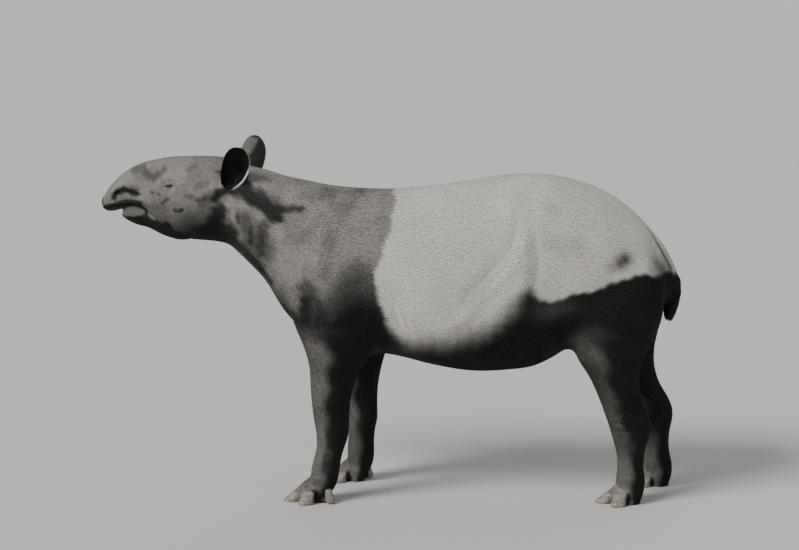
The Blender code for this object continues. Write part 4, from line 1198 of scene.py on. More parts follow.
def ear_shades(points):
    """Two painted shades on the ears: one in their hollows, and one on the hind half of their backs, away
    from the light.
    """
    hollow, behind = np.zeros(len(points)), np.zeros(len(points))
    for ear in EARS.values():
        share, edge, off = ear_coordinates(ear, points)
        rear = edge * math.copysign(1, ear_axes(ear)[4][0])
        inner = smoothstep(0.0006, -0.0006, off) * smoothstep(-0.034, -0.026, off)
        along = smoothstep(-0.22, -0.10, share) * smoothstep(1.03, 1.0, share)
        along = along * smoothstep(1.04, 1.0, abs(edge))
        hollow = np.maximum(hollow, inner * along)
        outer = smoothstep(-0.001, 0.001, off) * (off < 0.012) * smoothstep(0.10, 0.30, share) * (share < 1.1)
        front = np.interp(share, (0.25, 0.55, 0.90), (-0.95, -0.42, -0.08))
        dark = np.maximum(smoothstep(-0.24, 0.20, rear - front), smoothstep(0.88, 0.96, share))
        dark = np.maximum(dark, 0.24)
        behind = np.maximum(behind, outer * dark)
    return hollow, behind


def hide_marks(points, normals):
    """Every marking, painted sheen and painted shade at each place on the skin, each from 0 to 1."""
    straight = straightened(points)
    x, y, z = straight.T
    fleck_and_shade = np.zeros(len(points))
    for place, radius, strength in FLECKS:
        fleck_and_shade = np.maximum(fleck_and_shade, strength * np.exp(-(np.linalg.norm(points - place, axis=1) / radius) ** 2))
    # Painted shade in the saddle's hollows and in the creases beside the tail root joins the flecks
    mirrored = on_one_side(points)
    for radius, strength, path in SADDLE_PAINTED_SHADE:
        away = nearest_on_path(mirrored, np.array(path))[0]
        fleck_and_shade = np.maximum(fleck_and_shade, strength * smoothstep(1.6, 0.2, away / radius))
    line = nearest_on_path(mirrored, np.array(TAIL_CREASE_SHADE))[0]
    fleck_and_shade = np.maximum(fleck_and_shade, 0.75 * smoothstep(1.5, 0.4, line / np.interp(z, *TAIL_CREASE_SHADE_WIDTHS)))
    # Grey of dust and painted sheen on the head above the jaw, less low on the head, on the neck and
    # shoulders, and fainter on the chest, with a painted highlight along the crest of the neck
    jaw_top = np.interp(x, *JAW_SHADE)
    head = smoothstep(-0.007, 0.009, z + 0.003 * np.sin(x * 170 + 1) - jaw_top)
    head = head * (1 - 0.28 * smoothstep(0.985, 0.900, z + 0.012 * np.sin(x * 46)))
    low_edge = z + 0.022 * np.sin(x * 22 + 1) - 0.12 * smoothstep(-0.26, -0.06, x)
    body = 0.25 * smoothstep(0.50, 0.60, low_edge) + 0.75 * smoothstep(0.58, 0.72, low_edge)
    body = body * smoothstep(0.16, 0.0, x)
    chest = 0.37 * smoothstep(0.50, 0.60, z) * smoothstep(-0.22, -0.29, x)
    body = np.maximum(body, chest)
    dust_and_sheen = body + (head - body) * smoothstep(-0.44, -0.56, x)
    dust_and_sheen = dust_and_sheen + 0.04 * smoothstep(0.95, 1.01, z) * smoothstep(-0.05, -0.25, x) * smoothstep(-0.56, -0.46, x)
    # Streaks of painted shade and darker hair take the grey away, with edges that wander
    flat = straight * (1, 0, 1)
    wander = np.stack([
        0.0034 * np.sin(z * 190 + x * 70) + 0.0016 * np.sin(z * 430 - x * 260 + 2),
        np.zeros(len(x)),
        0.0034 * np.sin(x * 170 + z * 90 + 1) + 0.0016 * np.sin(x * 390 + z * 310),
    ], axis=1)
    for radius, strength, path in SHADE_AND_DARK_HAIR_STREAKS:
        wandering = flat + wander * min(1.0, (radius / 0.018) ** 1.5)
        away = nearest_on_path(wandering, np.array([(place_x, 0, place_z) for place_x, place_z in path]))[0]
        dust_and_sheen = dust_and_sheen * (1 - strength * smoothstep(1.55, 0.40, away / radius))
    # Painted sheen again on the fronts of the legs, which face the light, dust and painted sheen on the feet,
    # and painted sheen on one place of the flank; painted shade takes the grey away where the skin faces down
    forward = normals[:, 0] + 0.10 * np.sin(z * 60 + x * 30)
    ahead = smoothstep(0.05, -0.45, forward) * smoothstep(0.62, 0.50, z)
    legs = np.where(x < 0.2, 0.50, 0.34) * ahead
    feet = np.where(x < 0.2, 0.44, 0.60) * smoothstep(0.26, 0.10, z) * smoothstep(0.30, -0.25, forward)
    feet = feet + 0.012 * smoothstep(0.60, 0.30, z)
    feet = feet + 0.25 * smoothstep(0.075, 0.045, z) * smoothstep(0.20, -0.20, forward)
    flank = 0.20 * np.exp(-((x - 0.52) / 0.07) ** 2 - ((z - 0.645) / 0.035) ** 2)
    dust_and_sheen = np.maximum.reduce([dust_and_sheen, feet, legs, flank]) * (1 - 0.75 * smoothstep(-0.10, -0.75, normals[:, 2]))
    hollow, behind = ear_shades(points)
    rim = ear_rims(points)
    # No painted sheen in the ear hollows; the hind halves of the ears' backs stay black, as painted shade
    dust_and_sheen = dust_and_sheen * (1 - hollow) * (1 - 0.92 * behind)
    return {
        "pale": smoothstep(-1.0, 1.0, saddle_depth(points)) ** 1.7,
        "fleck_and_shade": fleck_and_shade,
        "dust_and_sheen": dust_and_sheen,
        "bare": bare_skin(straight, points),
        # deep: painted shade in the ear hollows
        "deep": hollow * (1 - rim),
        "rim": rim,
        "lie": lie_down(x, z),
    }


def marked(made, marks):
    """Stores the markings on a piece's points."""
    for name, values in marks.items():
        attribute = made.data.attributes.new(name, "FLOAT", "POINT")
        attribute.data.foreach_set("value", values.astype(np.float32))


def node_group(name, inputs, outputs):
    """An empty node group with its sockets, its input node and its output node."""
    group = bpy.data.node_groups.new(name, "ShaderNodeTree")
    for socket, kind, value in inputs:
        made = group.interface.new_socket(socket, in_out="INPUT", socket_type=kind)
        made.default_value = value
    for socket, kind in outputs:
        group.interface.new_socket(socket, in_out="OUTPUT", socket_type=kind)
    return group, group.nodes.new("NodeGroupInput"), group.nodes.new("NodeGroupOutput")


def feed(tree, socket, value):
    """Gives a socket a fixed value or a link."""
    if isinstance(value, bpy.types.NodeSocket):
        tree.links.new(value, socket)
    elif isinstance(value, tuple) and len(value) == 3 and socket.type == "RGBA":
        socket.default_value = (*value, 1)
    else:
        socket.default_value = value


def mark(tree, name):
    """A marking read from the surface."""
    node = tree.nodes.new("ShaderNodeAttribute")
    node.attribute_name = name
    return node.outputs["Fac"]


def mixed(tree, share, first, second):
    """One colour passing into another."""
    node = tree.nodes.new("ShaderNodeMix")
    node.data_type = "RGBA"
    feed(tree, node.inputs["Factor"], share)
    feed(tree, node.inputs["A"], first)
    feed(tree, node.inputs["B"], second)
    return node.outputs["Result"]


def sums(tree, operation, *values):
    """A sum, product or other working of numbers."""
    node = tree.nodes.new("ShaderNodeMath")
    node.operation = operation
    for socket, value in zip(node.inputs, values):
        feed(tree, socket, value)
    return node.outputs["Value"]


def ranged(tree, value, low, high, new_low, new_high):
    """A number moved smoothly from one range to another."""
    node = tree.nodes.new("ShaderNodeMapRange")
    node.interpolation_type = "SMOOTHSTEP"
    for socket, number in zip(node.inputs, (value, low, high, new_low, new_high)):
        feed(tree, socket, number)
    return node.outputs["Result"]


def mottle(tree, scale, detail=3.0, stretch=(1, 1, 1)):
    """Soft patches fixed to the object, longer along the axes with a small stretch value."""
    place = tree.nodes.new("ShaderNodeTexCoord")
    mapping = tree.nodes.new("ShaderNodeMapping")
    mapping.inputs["Scale"].default_value = stretch
    noise = tree.nodes.new("ShaderNodeTexNoise")
    noise.inputs["Scale"].default_value = scale
    noise.inputs["Detail"].default_value = detail
    tree.links.new(place.outputs["Object"], mapping.inputs["Vector"])
    tree.links.new(mapping.outputs["Vector"], noise.inputs["Vector"])
    return noise.outputs["Fac"]


BLACK_HAIR = (0.0062, 0.0057, 0.0052)
BROWN_BLACK_HAIR = (0.0112, 0.0094, 0.0080)
DUST_AND_SHEEN_HAIR = (0.290, 0.276, 0.250)
WHITE_HAIR = (0.70, 0.675, 0.625)
SHADED_WHITE_HAIR = (0.56, 0.535, 0.485)
FLECK_AND_SHADE_HAIR = (0.060, 0.056, 0.051)
BARE_SKIN = (0.020, 0.017, 0.016)
RIM_HAIR = (0.78, 0.76, 0.72)


def hide_colour_group():
    """The colour of hair or skin from its markings, with painted shade on skin that lies under the hair and
    in the ear hollows.
    """
    group, given, made = node_group(
        "hide colour", [("Depth", "NodeSocketFloat", 0.0)], [("Colour", "NodeSocketColor")]
    )
    patches = ranged(group, mottle(group, 7.0, 4.0), 0.36, 0.66, 0.0, 1.0)
    small = mottle(group, 60.0, 3.0)
    # Dust and painted sheen grey the black hair
    dust_and_sheen = sums(group, "MULTIPLY", mark(group, "dust_and_sheen"), ranged(group, patches, 0.0, 1.0, 0.74, 1.06))
    dust_and_sheen = sums(group, "MULTIPLY", dust_and_sheen, ranged(group, small, 0.3, 0.7, 0.86, 1.08))
    dark = mixed(group, patches, BLACK_HAIR, BROWN_BLACK_HAIR)
    dark = mixed(group, dust_and_sheen, dark, DUST_AND_SHEEN_HAIR)
    shade = ranged(group, mottle(group, 4.5, 5.0, (1, 1, 0.45)), 0.34, 0.70, 0.75, 0.0)
    white = mixed(group, shade, WHITE_HAIR, SHADED_WHITE_HAIR)
    # Flecks, and painted shade on the saddle and beside the tail root, darken the white
    white = mixed(group, mark(group, "fleck_and_shade"), white, FLECK_AND_SHADE_HAIR)
    colour = mixed(group, mark(group, "pale"), dark, white)
    colour = mixed(group, mark(group, "bare"), colour, BARE_SKIN)
    colour = mixed(group, mark(group, "rim"), colour, RIM_HAIR)
    tone = sums(group, "MULTIPLY_ADD", mark(group, "tone"), 0.12, 0.94)
    # Skin under the hair is darker by painted shade
    tone = sums(group, "MULTIPLY", tone, sums(group, "SUBTRACT", 1.0, given.outputs["Depth"]))
    # The ear hollows darken under deep, as painted shade
    tone = sums(group, "MULTIPLY", tone, ranged(group, mark(group, "deep"), 0.0, 1.0, 1.0, 0.30))
    toned = group.nodes.new("ShaderNodeVectorMath")
    toned.operation = "SCALE"
    group.links.new(colour, toned.inputs[0])
    group.links.new(tone, toned.inputs["Scale"])
    group.links.new(toned.outputs["Vector"], made.inputs["Colour"])
    return group


def hair_grain_group():
    """The height of fine strands that run along the body and, where the hair lies that way, down it."""
    group, given, made = node_group(
        "hair grain", [("Amount", "NodeSocketFloat", 1.0)], [("Height", "NodeSocketFloat")]
    )
    along = mottle(group, 420.0, 2.0, (0.11, 1.0, 1.0))
    down = mottle(group, 420.0, 2.0, (1.0, 1.0, 0.11))
    lie = mark(group, "lie")
    along = sums(group, "MULTIPLY", along, sums(group, "SUBTRACT", 1.0, lie))
    strands = sums(group, "ADD", sums(group, "MULTIPLY", down, lie), along)
    pores = mottle(group, 900.0, 1.0)
    hair = sums(group, "SUBTRACT", 1.0, mark(group, "bare"))
    height = sums(group, "ADD", sums(group, "MULTIPLY", strands, hair), sums(group, "MULTIPLY", pores, 0.35))
    height = sums(group, "MULTIPLY", height, given.outputs["Amount"])
    group.links.new(height, made.inputs["Height"])
    return group


def grouped(tree, group, **values):
    """A node group placed in a material with its own values."""
    node = tree.nodes.new("ShaderNodeGroup")
    node.node_tree = group
    for name, value in values.items():
        feed(tree, node.inputs[name], value)
    return node


def paint(name, roughness, **fixed):
    """A material with its shader, and fixed values on the shader's own sockets."""
    made = bpy.data.materials.new(name)
    made.use_nodes = True
    shader = made.node_tree.nodes["Principled BSDF"]
    feed(made.node_tree, shader.inputs["Roughness"], roughness)
    for socket, value in fixed.items():
        shader.inputs[socket.replace("_", " ")].default_value = value
    return made, made.node_tree, shader


def bumped(tree, shader, height, strength, distance):
    """Raises a surface by a height."""
    bump = tree.nodes.new("ShaderNodeBump")
    bump.inputs["Strength"].default_value = strength
    bump.inputs["Distance"].default_value = distance
    tree.links.new(height, bump.inputs["Height"])
    tree.links.new(bump.outputs["Normal"], shader.inputs["Normal"])


hide_colour = hide_colour_group()
hair_grain = hair_grain_group()
skin_paint, tree, shader = paint("haired skin", 0.5, Specular_IOR_Level=0.20)
# The skin under the coat is a tenth darker, as painted shade
tree.links.new(grouped(tree, hide_colour, Depth=0.10).outputs["Colour"], shader.inputs["Base Color"])
tree.links.new(ranged(tree, mark(tree, "pale"), 0.0, 1.0, 0.62, 0.80), shader.inputs["Roughness"])
bumped(tree, shader, grouped(tree, hair_grain).outputs["Height"], 0.45, 0.0006)
hide.data.materials.clear()
hide.data.materials.append(skin_paint)
marked(hide, hide_marks(points_of(hide), normals_of(hide)) | {"tone": np.full(len(hide.data.vertices), 0.5)})


# The hooves
# Four horn hooves on each forefoot, the outer one small and high, and three on each hind foot. Horn
# grows down from the coronet in rings, and its edge is worn where it meets the ground.
HOOF_POINTS = 56
# Up a hoof: share of its height, how far its outline is drawn in, and how far it leans back
HOOF_PROFILE = (
    (0.0, 0.05, 0.0), (0.10, 0.0, 0.05), (0.55, 0.04, 0.48), (0.92, 0.13, 0.86), (1.0, 0.26, 0.94),
)
HOOF_LEVELS = (0.0, 0.012, 0.03, 0.06) + tuple(np.linspace(0.10, 0.90, 21)) + (0.93, 0.96, 0.985, 1.0)
GROWTH_RINGS = 7
GROWTH_RING_DEPTH = 0.00035
WORN_EDGE = 0.0012
HORN_PALE = (0.36, 0.325, 0.27)
HORN_DARK = (0.20, 0.175, 0.145)
HORN_DIRTY = (0.13, 0.115, 0.095)


def hoof(name, heel, heading, reach, width, length, height, rise):
    """One hoof: a flat sole with a rounded point ahead, and ringed walls leaning back to the coronet."""
    across = heading.cross(Vector((0, 0, 1)))
    middle = heel + heading * (reach - length * 0.55)
    shape = curve_through(HOOF_PROFILE)
    rings = []
    for level in HOOF_LEVELS:
        inset, back = shape(level)[0]
        grown = math.sin(2 * math.pi * GROWTH_RINGS * level) * GROWTH_RING_DEPTH
        grown *= min(1, 8 * level, 8 * (1 - level))
        ring = []
        for k in range(HOOF_POINTS):
            turn = 2 * math.pi * k / HOOF_POINTS
            ahead = math.cos(turn) * (0.45 if math.cos(turn) > 0 else 0.55) * length
            sideways = math.sin(turn) * 0.5 * width * (1 - 0.30 * abs(math.cos(turn)) ** 1.5)
            up = height * level * (1.0 if ahead > 0 else 1 - 0.35 * (-ahead / (0.55 * length)))
            wear = WORN_EDGE * max(0.0, 1 - level / 0.06) ** 2 * (0.6 + 0.4 * math.sin(3 * turn + 40 * width))
            scale = 1 - inset + (grown - wear) / (0.5 * width)
            ring.append(
                middle
                + heading * (ahead * scale - back * length * (0.35 + 0.15 * math.cos(turn)))
                + across * (sideways * scale)
                + Vector((0, 0, up + rise))
            )
        rings.append(ring)
    return loft(name, rings)


horn_paint, tree, shader = paint("horn", 0.5)
streaks = mottle(tree, 260.0, 3.0, (1.0, 1.0, 0.12))
bands = mottle(tree, 60.0, 2.0, (0.4, 0.4, 3.0))
colour = mixed(tree, ranged(tree, streaks, 0.35, 0.65, 0.0, 1.0), HORN_DARK, HORN_PALE)
colour = mixed(tree, ranged(tree, bands, 0.40, 0.62, 0.0, 0.5), colour, HORN_DIRTY)
tree.links.new(colour, shader.inputs["Base Color"])
tree.links.new(ranged(tree, bands, 0.3, 0.7, 0.42, 0.68), shader.inputs["Roughness"])
bumped(tree, shader, streaks, 0.25, 0.0003)
for leg in SIDES:
    for name, *place in toe_places(leg):
        piece = hoof(f"{leg}_{name}_horn", *place)
        smooth_shaded(piece)
        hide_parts(f"{leg}_{name}_hoof")
        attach(piece, "root")
        piece.data.materials.append(horn_paint)


# The eyes
# Small dark brown eyes, a ball with a raised dome over the iris, sunk deep between the lids.
IRIS_RADIUS = 0.0072
PUPIL_RADIUS = 0.0040
CORNEA_RISE = 0.0013
EYE_SEGMENTS = 64
PUPIL = (0.003, 0.003, 0.003)
IRIS_DARK = (0.012, 0.006, 0.003)
IRIS_BROWN = (0.040, 0.020, 0.009)
EYE_WHITE = (0.11, 0.075, 0.060)


def eyeball(name, side):
    """One eye, its dome facing out of the head, with iris and pupil marked on its surface."""
    middle, out, forward, up = around(EYE_CENTRE, EYE_FACING, side)
    mesh = bmesh.new()
    bmesh.ops.create_uvsphere(mesh, u_segments=EYE_SEGMENTS, v_segments=EYE_SEGMENTS // 2, radius=1)
    marks = []
    for vert in mesh.verts:
        off = math.hypot(vert.co.x, vert.co.y) * EYE_RADIUS if vert.co.z > 0 else 1.0
        dome = max(0.0, 1 - (off / IRIS_RADIUS) ** 2)
        place = vert.co * EYE_RADIUS + Vector((0, 0, CORNEA_RISE * dome**1.5))
        place = middle + forward * place.x + up * place.y + out * place.z
        vert.co = Vector(turned([place])[0]) - Vector(out) * COAT_DEPTH
        marks.append(off)
    piece = mesh_object(name, mesh)
    piece.data.attributes.new("from_pupil", "FLOAT", "POINT").data.foreach_set("value", marks)
    smooth_shaded(piece)
    return piece


eye_paint, tree, shader = paint("wet eye", 0.08, Coat_Weight=1.0, Coat_Roughness=0.03)
from_pupil = mark(tree, "from_pupil")
iris = mixed(tree, ranged(tree, mottle(tree, 900.0, 2.0), 0.35, 0.65, 0.0, 1.0), IRIS_DARK, IRIS_BROWN)
round_pupil = ranged(tree, from_pupil, PUPIL_RADIUS * 0.9, PUPIL_RADIUS * 1.1, 0.0, 1.0)
round_iris = ranged(tree, from_pupil, IRIS_RADIUS * 0.93, IRIS_RADIUS * 1.1, 0.0, 1.0)
colour = mixed(tree, round_iris, mixed(tree, round_pupil, PUPIL, iris), EYE_WHITE)
tree.links.new(colour, shader.inputs["Base Color"])
for side, node in ((-1.0, "left_eye"), (1.0, "right_eye")):
    piece = eyeball(node + "ball", side)
    piece.data.materials.append(eye_paint)
    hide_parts(node)
    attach(piece, "root")


# The coat
# Short, sleek hair that lies flat: along the head, neck and trunk, and down the chest, rump and legs.
# It stands as thin tufts over the skin, longest on the body, shortest on the face, ears and feet.
COAT_TUFTS = 214000
MOST_TUFTS_IN_A_PIECE = 33000
BODY_TUFT = (0.0115, 0.0011)
HEAD_TUFT = (0.0062, 0.0009)
FOOT_TUFT = (0.0070, 0.0010)
EAR_TUFT = (0.0048, 0.0008)
TUFT_ROOT_DEPTH = 0.0006
# A tuft's bend: its share of the length, how far it and the tip stand off the skin, and the shares of the
# width that its ridge rises and its sides drop
TUFT_MIDDLE = 0.42
TUFT_STAND = 0.055
TUFT_MIDDLE_STAND = 0.62
TUFT_RIDGE = 0.32
TUFT_SIDE_DROP = 0.10
# How much of the marks of naked skin the tufts take
BARE_SHARE = 0.6
# How wide a tuft is on the flat map of the skin
PATCH = 0.003
draw = np.random.default_rng(7)


def on_ears(points):
    """Which points are on an ear, the ears in turn, and how far along it each lies."""
    which = np.full(len(points), -1)
    along = np.zeros(len(points))
    for k, ear in enumerate(EARS.values()):
        share, edge, off = ear_coordinates(ear, points)
        found = (share > 0.14) & (share < 1.2) & (abs(off) < 0.006) & (abs(edge) < 1.3)
        which[found] = k
        along[found] = share[found]
    return which, along


def inside_hooves(points):
    """Which points a hoof covers."""
    covered = np.zeros(len(points), bool)
    for leg in SIDES:
        for _, heel, heading, reach, width, length, height, rise in toe_places(leg):
            off = points - np.array(heel + heading * (reach - length * 0.55))
            ahead = off @ np.array(heading)
            level = (off[:, 2] - rise) / height
            ahead = ahead + level * 0.2 * length
            sideways = off @ np.array(heading.cross(Vector((0, 0, 1))))
            covered |= (np.hypot(ahead / (0.54 * length), sideways / (0.54 * width)) < 1) & (level < 0.92)
    return covered


def hair_lie(points):
    """The way the hair lies at each place, before it is laid on the surface."""
    straight = straightened(points)
    x, y, z = straight.T
    down = lie_down(x, z)[:, None]
    lie = (1 - down) * (1.0, 0.0, -0.20) + down * (0.16, 0.0, -1.0)
    turn = HEAD_TURN * smoothstep(TURN_START_X, TURN_END_X, x)
    lie = np.stack([lie[:, 0] * np.cos(turn), -lie[:, 0] * np.sin(turn), lie[:, 2]], axis=1)
    which, _ = on_ears(points)
    for k, ear in enumerate(EARS.values()):
        lie[which == k] = ear_axes(ear)[2]
    return lie


def unwrapped(points):
    """A flat map of the skin's own shape: the trunk and head round their length, then legs, ears and tail."""
    straight = straightened(points)
    x, y, z = straight.T
    level = np.interp(x, (-0.96, -0.50, -0.20, 0.90), (0.96, 0.96, 0.74, 0.72))
    u = np.arctan2(y, z - level) / (2 * math.pi) + 0.5
    v = 0.60 * (x + 1.0) / 2.0
    for k, (leg, side) in enumerate(SIDES.items()):
        front = leg.startswith("front")
        middle = (-0.19 if front else 0.765) + np.interp(z, (0.0, 0.6), (leg_place(leg, 0.0), 0.0))
        here = (z < 0.47) & (abs(x - middle) < 0.24) & (y * side > 0.02)
        round_leg = np.arctan2(x - middle, side * y - 0.13) / (2 * math.pi) + 0.5
        u = np.where(here, (k + 0.04 + 0.92 * round_leg) / 4, u)
        v = np.where(here, 0.62 + 0.22 * z / 0.47, v)
    for k, ear in enumerate(EARS.values()):
        here = on_ears(points)[0] == k
        share, edge, off = ear_coordinates(ear, points)
        across = 0.11 * (np.clip(edge, -1, 1) + 1) + np.where(off < 0, 0.25, 0.01)
        u = np.where(here, 0.5 * k + across * 0.9, u)
        v = np.where(here, 0.86 + 0.12 * np.clip(share, 0, 1), v)
    return np.clip(np.stack([u, v], axis=1), PATCH, 1 - PATCH)


def roots_on(made, count, density):
    """Places spread over the skin by density, and the way it faces at each."""
    made.data.calc_loop_triangles()
    corners = np.empty(len(made.data.loop_triangles) * 3, np.int32)
    made.data.loop_triangles.foreach_get("vertices", corners)
    corners = corners.reshape(-1, 3)
    points, normals = points_of(made), normals_of(made)
    a, b, c = points[corners[:, 0]], points[corners[:, 1]], points[corners[:, 2]]
    area = np.linalg.norm(np.cross(b - a, c - a), axis=1) / 2
    weight = np.cumsum(area * density((a + b + c) / 3, np.cross(b - a, c - a)))
    drawn = (np.arange(count) + draw.random(count)) / count * weight[-1]
    chosen = np.searchsorted(weight, drawn)
    u, v = draw.random(count), draw.random(count)
    flip = u + v > 1
    u, v = np.where(flip, 1 - u, u), np.where(flip, 1 - v, v)
    shares = np.stack([1 - u - v, u, v], axis=1)[..., None]
    normal = (normals[corners[chosen]] * shares).sum(axis=1)
    normal /= np.maximum(np.linalg.norm(normal, axis=1, keepdims=True), 1e-9)
    return (points[corners[chosen]] * shares).sum(axis=1), normal


def coat_density(points, facing):
    """How close the tufts stand: thickest on the face, ears and feet, none on bare skin, soles or horn."""
    straight = straightened(points)
    x, y, z = straight.T
    density = 1.0 + 1.5 * smoothstep(-0.46, -0.58, x) + 1.2 * smoothstep(0.20, 0.08, z)
    density += 0.25 * smoothstep(0.60, 0.45, z)
    density = np.where(on_ears(points)[0] >= 0, 2.6, density)
    density *= np.clip(1 - 1.15 * bare_skin(straight, points), 0, 1)
    density *= ~inside_hooves(points) & (z > 0.003)
    return density


def tuft_sizes(points):
    """The length and width of a tuft at each place."""
    x, y, z = straightened(points).T
    head = smoothstep(-0.30, -0.56, x)[:, None]
    low = smoothstep(0.34, 0.10, z)[:, None]
    sizes = np.array(BODY_TUFT) * (1 - head) + np.array(HEAD_TUFT) * head
    sizes = sizes * (1 - low) + np.array(FOOT_TUFT) * low
    sizes *= 1 - 0.25 * smoothstep(-0.84, -0.93, x)[:, None]
    sizes[on_ears(points)[0] >= 0] = EAR_TUFT
    return sizes.T


def tufts(name, roots, normals, ways, sizes, marks):
    """One piece of coat: closed, pointed tufts of six faces, each rooted in the skin and bent along it."""
    count = len(roots)
    length, width = sizes[0][:, None], sizes[1][:, None]
    across = np.cross(normals, ways)
    stand = TUFT_STAND * length * (0.75 + 0.5 * draw.random((count, 1)))
    middle = roots + ways * (TUFT_MIDDLE * length) + normals * (TUFT_MIDDLE_STAND * stand)
    sway = across * (width * draw.normal(0, 0.5, (count, 1)))
    corners = np.stack([
        roots - normals * TUFT_ROOT_DEPTH,
        middle + across * (width / 2) - normals * (TUFT_SIDE_DROP * width),
        middle - across * (width / 2) - normals * (TUFT_SIDE_DROP * width),
        middle + normals * (TUFT_RIDGE * width),
        roots + ways * length + normals * stand + sway,
    ], axis=1)
    faces = np.array([(0, 3, 1), (0, 2, 3), (0, 1, 2), (4, 1, 3), (4, 3, 2), (4, 2, 1)])
    faces = (faces[None] + 5 * np.arange(count)[:, None, None]).reshape(-1)
    data = bpy.data.meshes.new(name)
    data.vertices.add(5 * count)
    data.vertices.foreach_set("co", corners.astype(np.float32).ravel())
    data.loops.add(len(faces))
    data.loops.foreach_set("vertex_index", faces.astype(np.int32))
    data.polygons.add(len(faces) // 3)
    data.polygons.foreach_set("loop_start", np.arange(0, len(faces), 3, dtype=np.int32))
    data.update()
    made = placed(name, data)
    smooth_shaded(made)
    spots = np.array([(0, -0.5), (-0.4, 0), (0.4, 0), (0, 0), (0, 0.5)]) * PATCH
    places = (unwrapped(roots)[:, None] + spots).reshape(-1, 2)
    flat = data.uv_layers.new(name="OFBake")
    flat.data.foreach_set("uv", places[faces].astype(np.float32).ravel())
    marked(made, {name: np.repeat(values, 5) for name, values in marks.items()})
    return made


def coat_zones(points, pale):
    """Which zone of the coat each root belongs to."""
    x, y, z = straightened(points).T
    sides = [("left", y <= 0), ("right", y > 0)]
    ears = on_ears(points)[0] >= 0
    head = (x < -0.50) & ~ears
    saddle = (pale > 0.5) & ~ears
    legs = (z < 0.47) & ((x < 0.10) | (x > 0.50)) & ~ears
    zones = {"ears": ears}
    for side, here in sides:
        zones[f"head_{side}"] = head & here
        zones[f"saddle_{side}"] = saddle & here & ~head
        zones[f"foreleg_{side}"] = legs & here & (x < 0.3)
        zones[f"hindleg_{side}"] = legs & here & (x > 0.3)
        trunk = here & ~head & ~saddle & ~legs & ~ears
        zones[f"neck_{side}"] = trunk & (x < 0.05)
        zones[f"flank_{side}"] = trunk & (x >= 0.05)
    return zones


coat_paints = {}
for slot_name, rough in (("black_hide", 0.60), ("white_hide", 0.78)):
    hair_paint, tree, shader = paint(slot_name.replace("_hide", " hair"), rough, Specular_IOR_Level=0.20)
    tree.links.new(grouped(tree, hide_colour, Depth=0.0).outputs["Colour"], shader.inputs["Base Color"])
    bumped(tree, shader, grouped(tree, hair_grain).outputs["Height"], 0.25, 0.0003)
    coat_paints[slot_name] = hair_paint

roots, facing = roots_on(hide, COAT_TUFTS, coat_density)
ways = hair_lie(roots)
ways -= facing * (ways * facing).sum(axis=1, keepdims=True)
ways /= np.maximum(np.linalg.norm(ways, axis=1, keepdims=True), 1e-9)
# Each tuft turns a little off the lie, in slow swirls and by chance
swirl = 0.08 * np.sin(roots @ (21, 13, 17)) + 0.05 * np.sin(roots @ (-33, 29, 24) + 1)
swirl = (swirl + draw.normal(0, 0.12, COAT_TUFTS))[:, None]
ways = ways * np.cos(swirl) + np.cross(facing, ways) * np.sin(swirl)
sizes = tuft_sizes(roots) * (0.75 + 0.5 * draw.random(COAT_TUFTS))
# Near the ground a tuft is cut short before it would reach the floor
room = np.maximum(roots[:, 2] - 0.0014, 0.0004) / np.maximum(-ways[:, 2], 0.001)
sizes[0] = np.minimum(sizes[0], room)
coat_marks = hide_marks(roots, facing) | {"tone": draw.random(COAT_TUFTS)}
coat_marks["bare"] = coat_marks["bare"] * BARE_SHARE
for zone, here in coat_zones(roots, coat_marks["pale"]).items():
    members = np.flatnonzero(here)
    shares = max(1, math.ceil(len(members) / MOST_TUFTS_IN_A_PIECE))
    for k, part in enumerate(np.array_split(members, shares)):
        name = f"coat_{zone}" if shares == 1 else f"coat_{zone}_{k + 1}"
        part_marks = {mark_name: values[part] for mark_name, values in coat_marks.items()}
        piece = tufts(name, roots[part], facing[part], ways[part], sizes[:, part], part_marks)
        slot_name = "white_hide" if zone.startswith("saddle") else "black_hide"
        piece.data.materials.append(coat_paints[slot_name])
        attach(piece, "root")


# The floor, the light and the camera
# A plain pale studio floor, swept up a little far behind, under broad soft light from the upper left, as
# the photograph is lit. It is seen from the animal's left side and from a standing person's eye height.
CAMERA_DISTANCE = 6.0
CAMERA_HEIGHT = 1.58
CAMERA_ASIDE = 0.03
CAMERA_ROUND = math.radians(2.5)
CAMERA_DOWN = math.radians(8.2)
SENSOR_WIDTH = 36.0
FOCAL_SHARE = 1875 / 799
FLOOR_HALF_SIZE = 400.0
FLOOR_RISE = 4.5
FLOOR_ROWS = 40
FLOOR_FLAT_TO = 10.0
FLOOR_COLOUR = (0.60, 0.59, 0.57, 1)
SKY_COLOUR = (0.80, 0.81, 0.83, 1)
SKY_STRENGTH = 0.45
MIDDLE_OF_BODY = Vector((0.0, 0.0, 0.65))


def lamp(name, place, breadth, power, colour):
    """A soft, even light from one direction, as broad as it looks from the animal, in degrees."""
    data = bpy.data.lights.new(name, "SUN")
    data.angle = math.radians(breadth)
    data.energy = power
    data.color = colour
    made = placed(name, data)
    made.location = place
    made.rotation_euler = (MIDDLE_OF_BODY - Vector(place)).to_track_quat("-Z", "Y").to_euler()


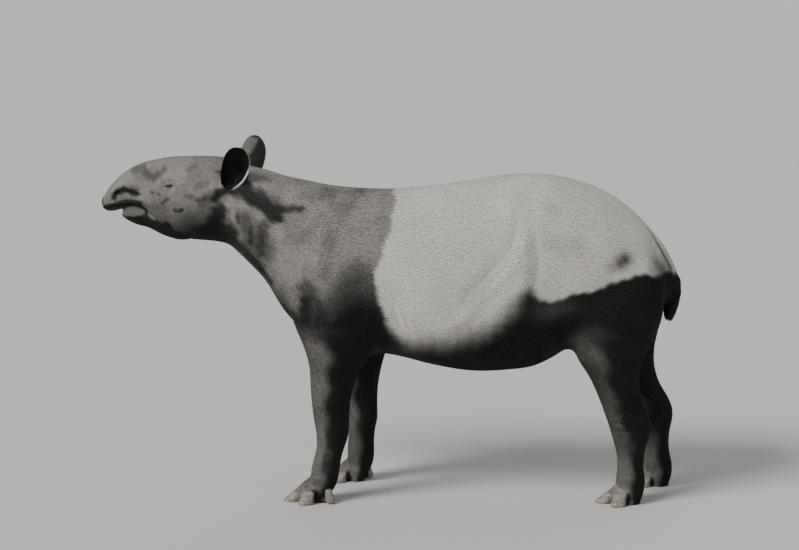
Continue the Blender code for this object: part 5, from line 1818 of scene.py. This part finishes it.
floor_mesh = bmesh.new()
rows = []
for back in [-FLOOR_HALF_SIZE] + list(np.linspace(FLOOR_FLAT_TO, FLOOR_HALF_SIZE, FLOOR_ROWS)):
    rise = FLOOR_RISE * (max(0.0, back - FLOOR_FLAT_TO) / (FLOOR_HALF_SIZE - FLOOR_FLAT_TO)) ** 2
    rows.append([floor_mesh.verts.new((aside, back, rise)) for aside in (-FLOOR_HALF_SIZE, FLOOR_HALF_SIZE)])
for near, far in zip(rows, rows[1:]):
    floor_mesh.faces.new((near[0], near[1], far[1], far[0]))
floor = mesh_object("floor", floor_mesh)
floor_paint = bpy.data.materials.new("pale floor")
floor_paint.use_nodes = True
floor_shader = floor_paint.node_tree.nodes["Principled BSDF"]
floor_shader.inputs["Base Color"].default_value = FLOOR_COLOUR
floor_shader.inputs["Roughness"].default_value = 0.9
floor.data.materials.append(floor_paint)
floor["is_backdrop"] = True

lamp("key light", (-3.6, -3.0, 4.6), 24.0, 2.9, (1.0, 0.985, 0.96))
lamp("fill light", (4.0, -4.5, 2.6), 60.0, 0.22, (0.95, 0.97, 1.0))
lamp("back light", (1.5, 4.5, 3.8), 50.0, 0.5, (1.0, 1.0, 1.0))
world = bpy.data.worlds.new("studio")
world.use_nodes = True
world.node_tree.nodes["Background"].inputs["Color"].default_value = SKY_COLOUR
world.node_tree.nodes["Background"].inputs["Strength"].default_value = SKY_STRENGTH
bpy.context.scene.world = world

camera = placed("camera", bpy.data.cameras.new("camera"))
camera.data.sensor_width = SENSOR_WIDTH
camera.data.lens = SENSOR_WIDTH * FOCAL_SHARE
camera.data.clip_end = 10000.0
camera.location = (
    CAMERA_ASIDE * math.cos(CAMERA_ROUND) + CAMERA_DISTANCE * math.sin(CAMERA_ROUND),
    CAMERA_ASIDE * math.sin(CAMERA_ROUND) - CAMERA_DISTANCE * math.cos(CAMERA_ROUND),
    CAMERA_HEIGHT,
)
camera.rotation_euler = (math.radians(90) - CAMERA_DOWN, 0, CAMERA_ROUND)
bpy.context.scene.camera = camera

seen_low, seen_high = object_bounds()
sizes = {
    "cad": [[float(v) for v in cad_low], [float(v) for v in cad_high]],
    "visual": [[float(v) for v in seen_low], [float(v) for v in seen_high]],
}
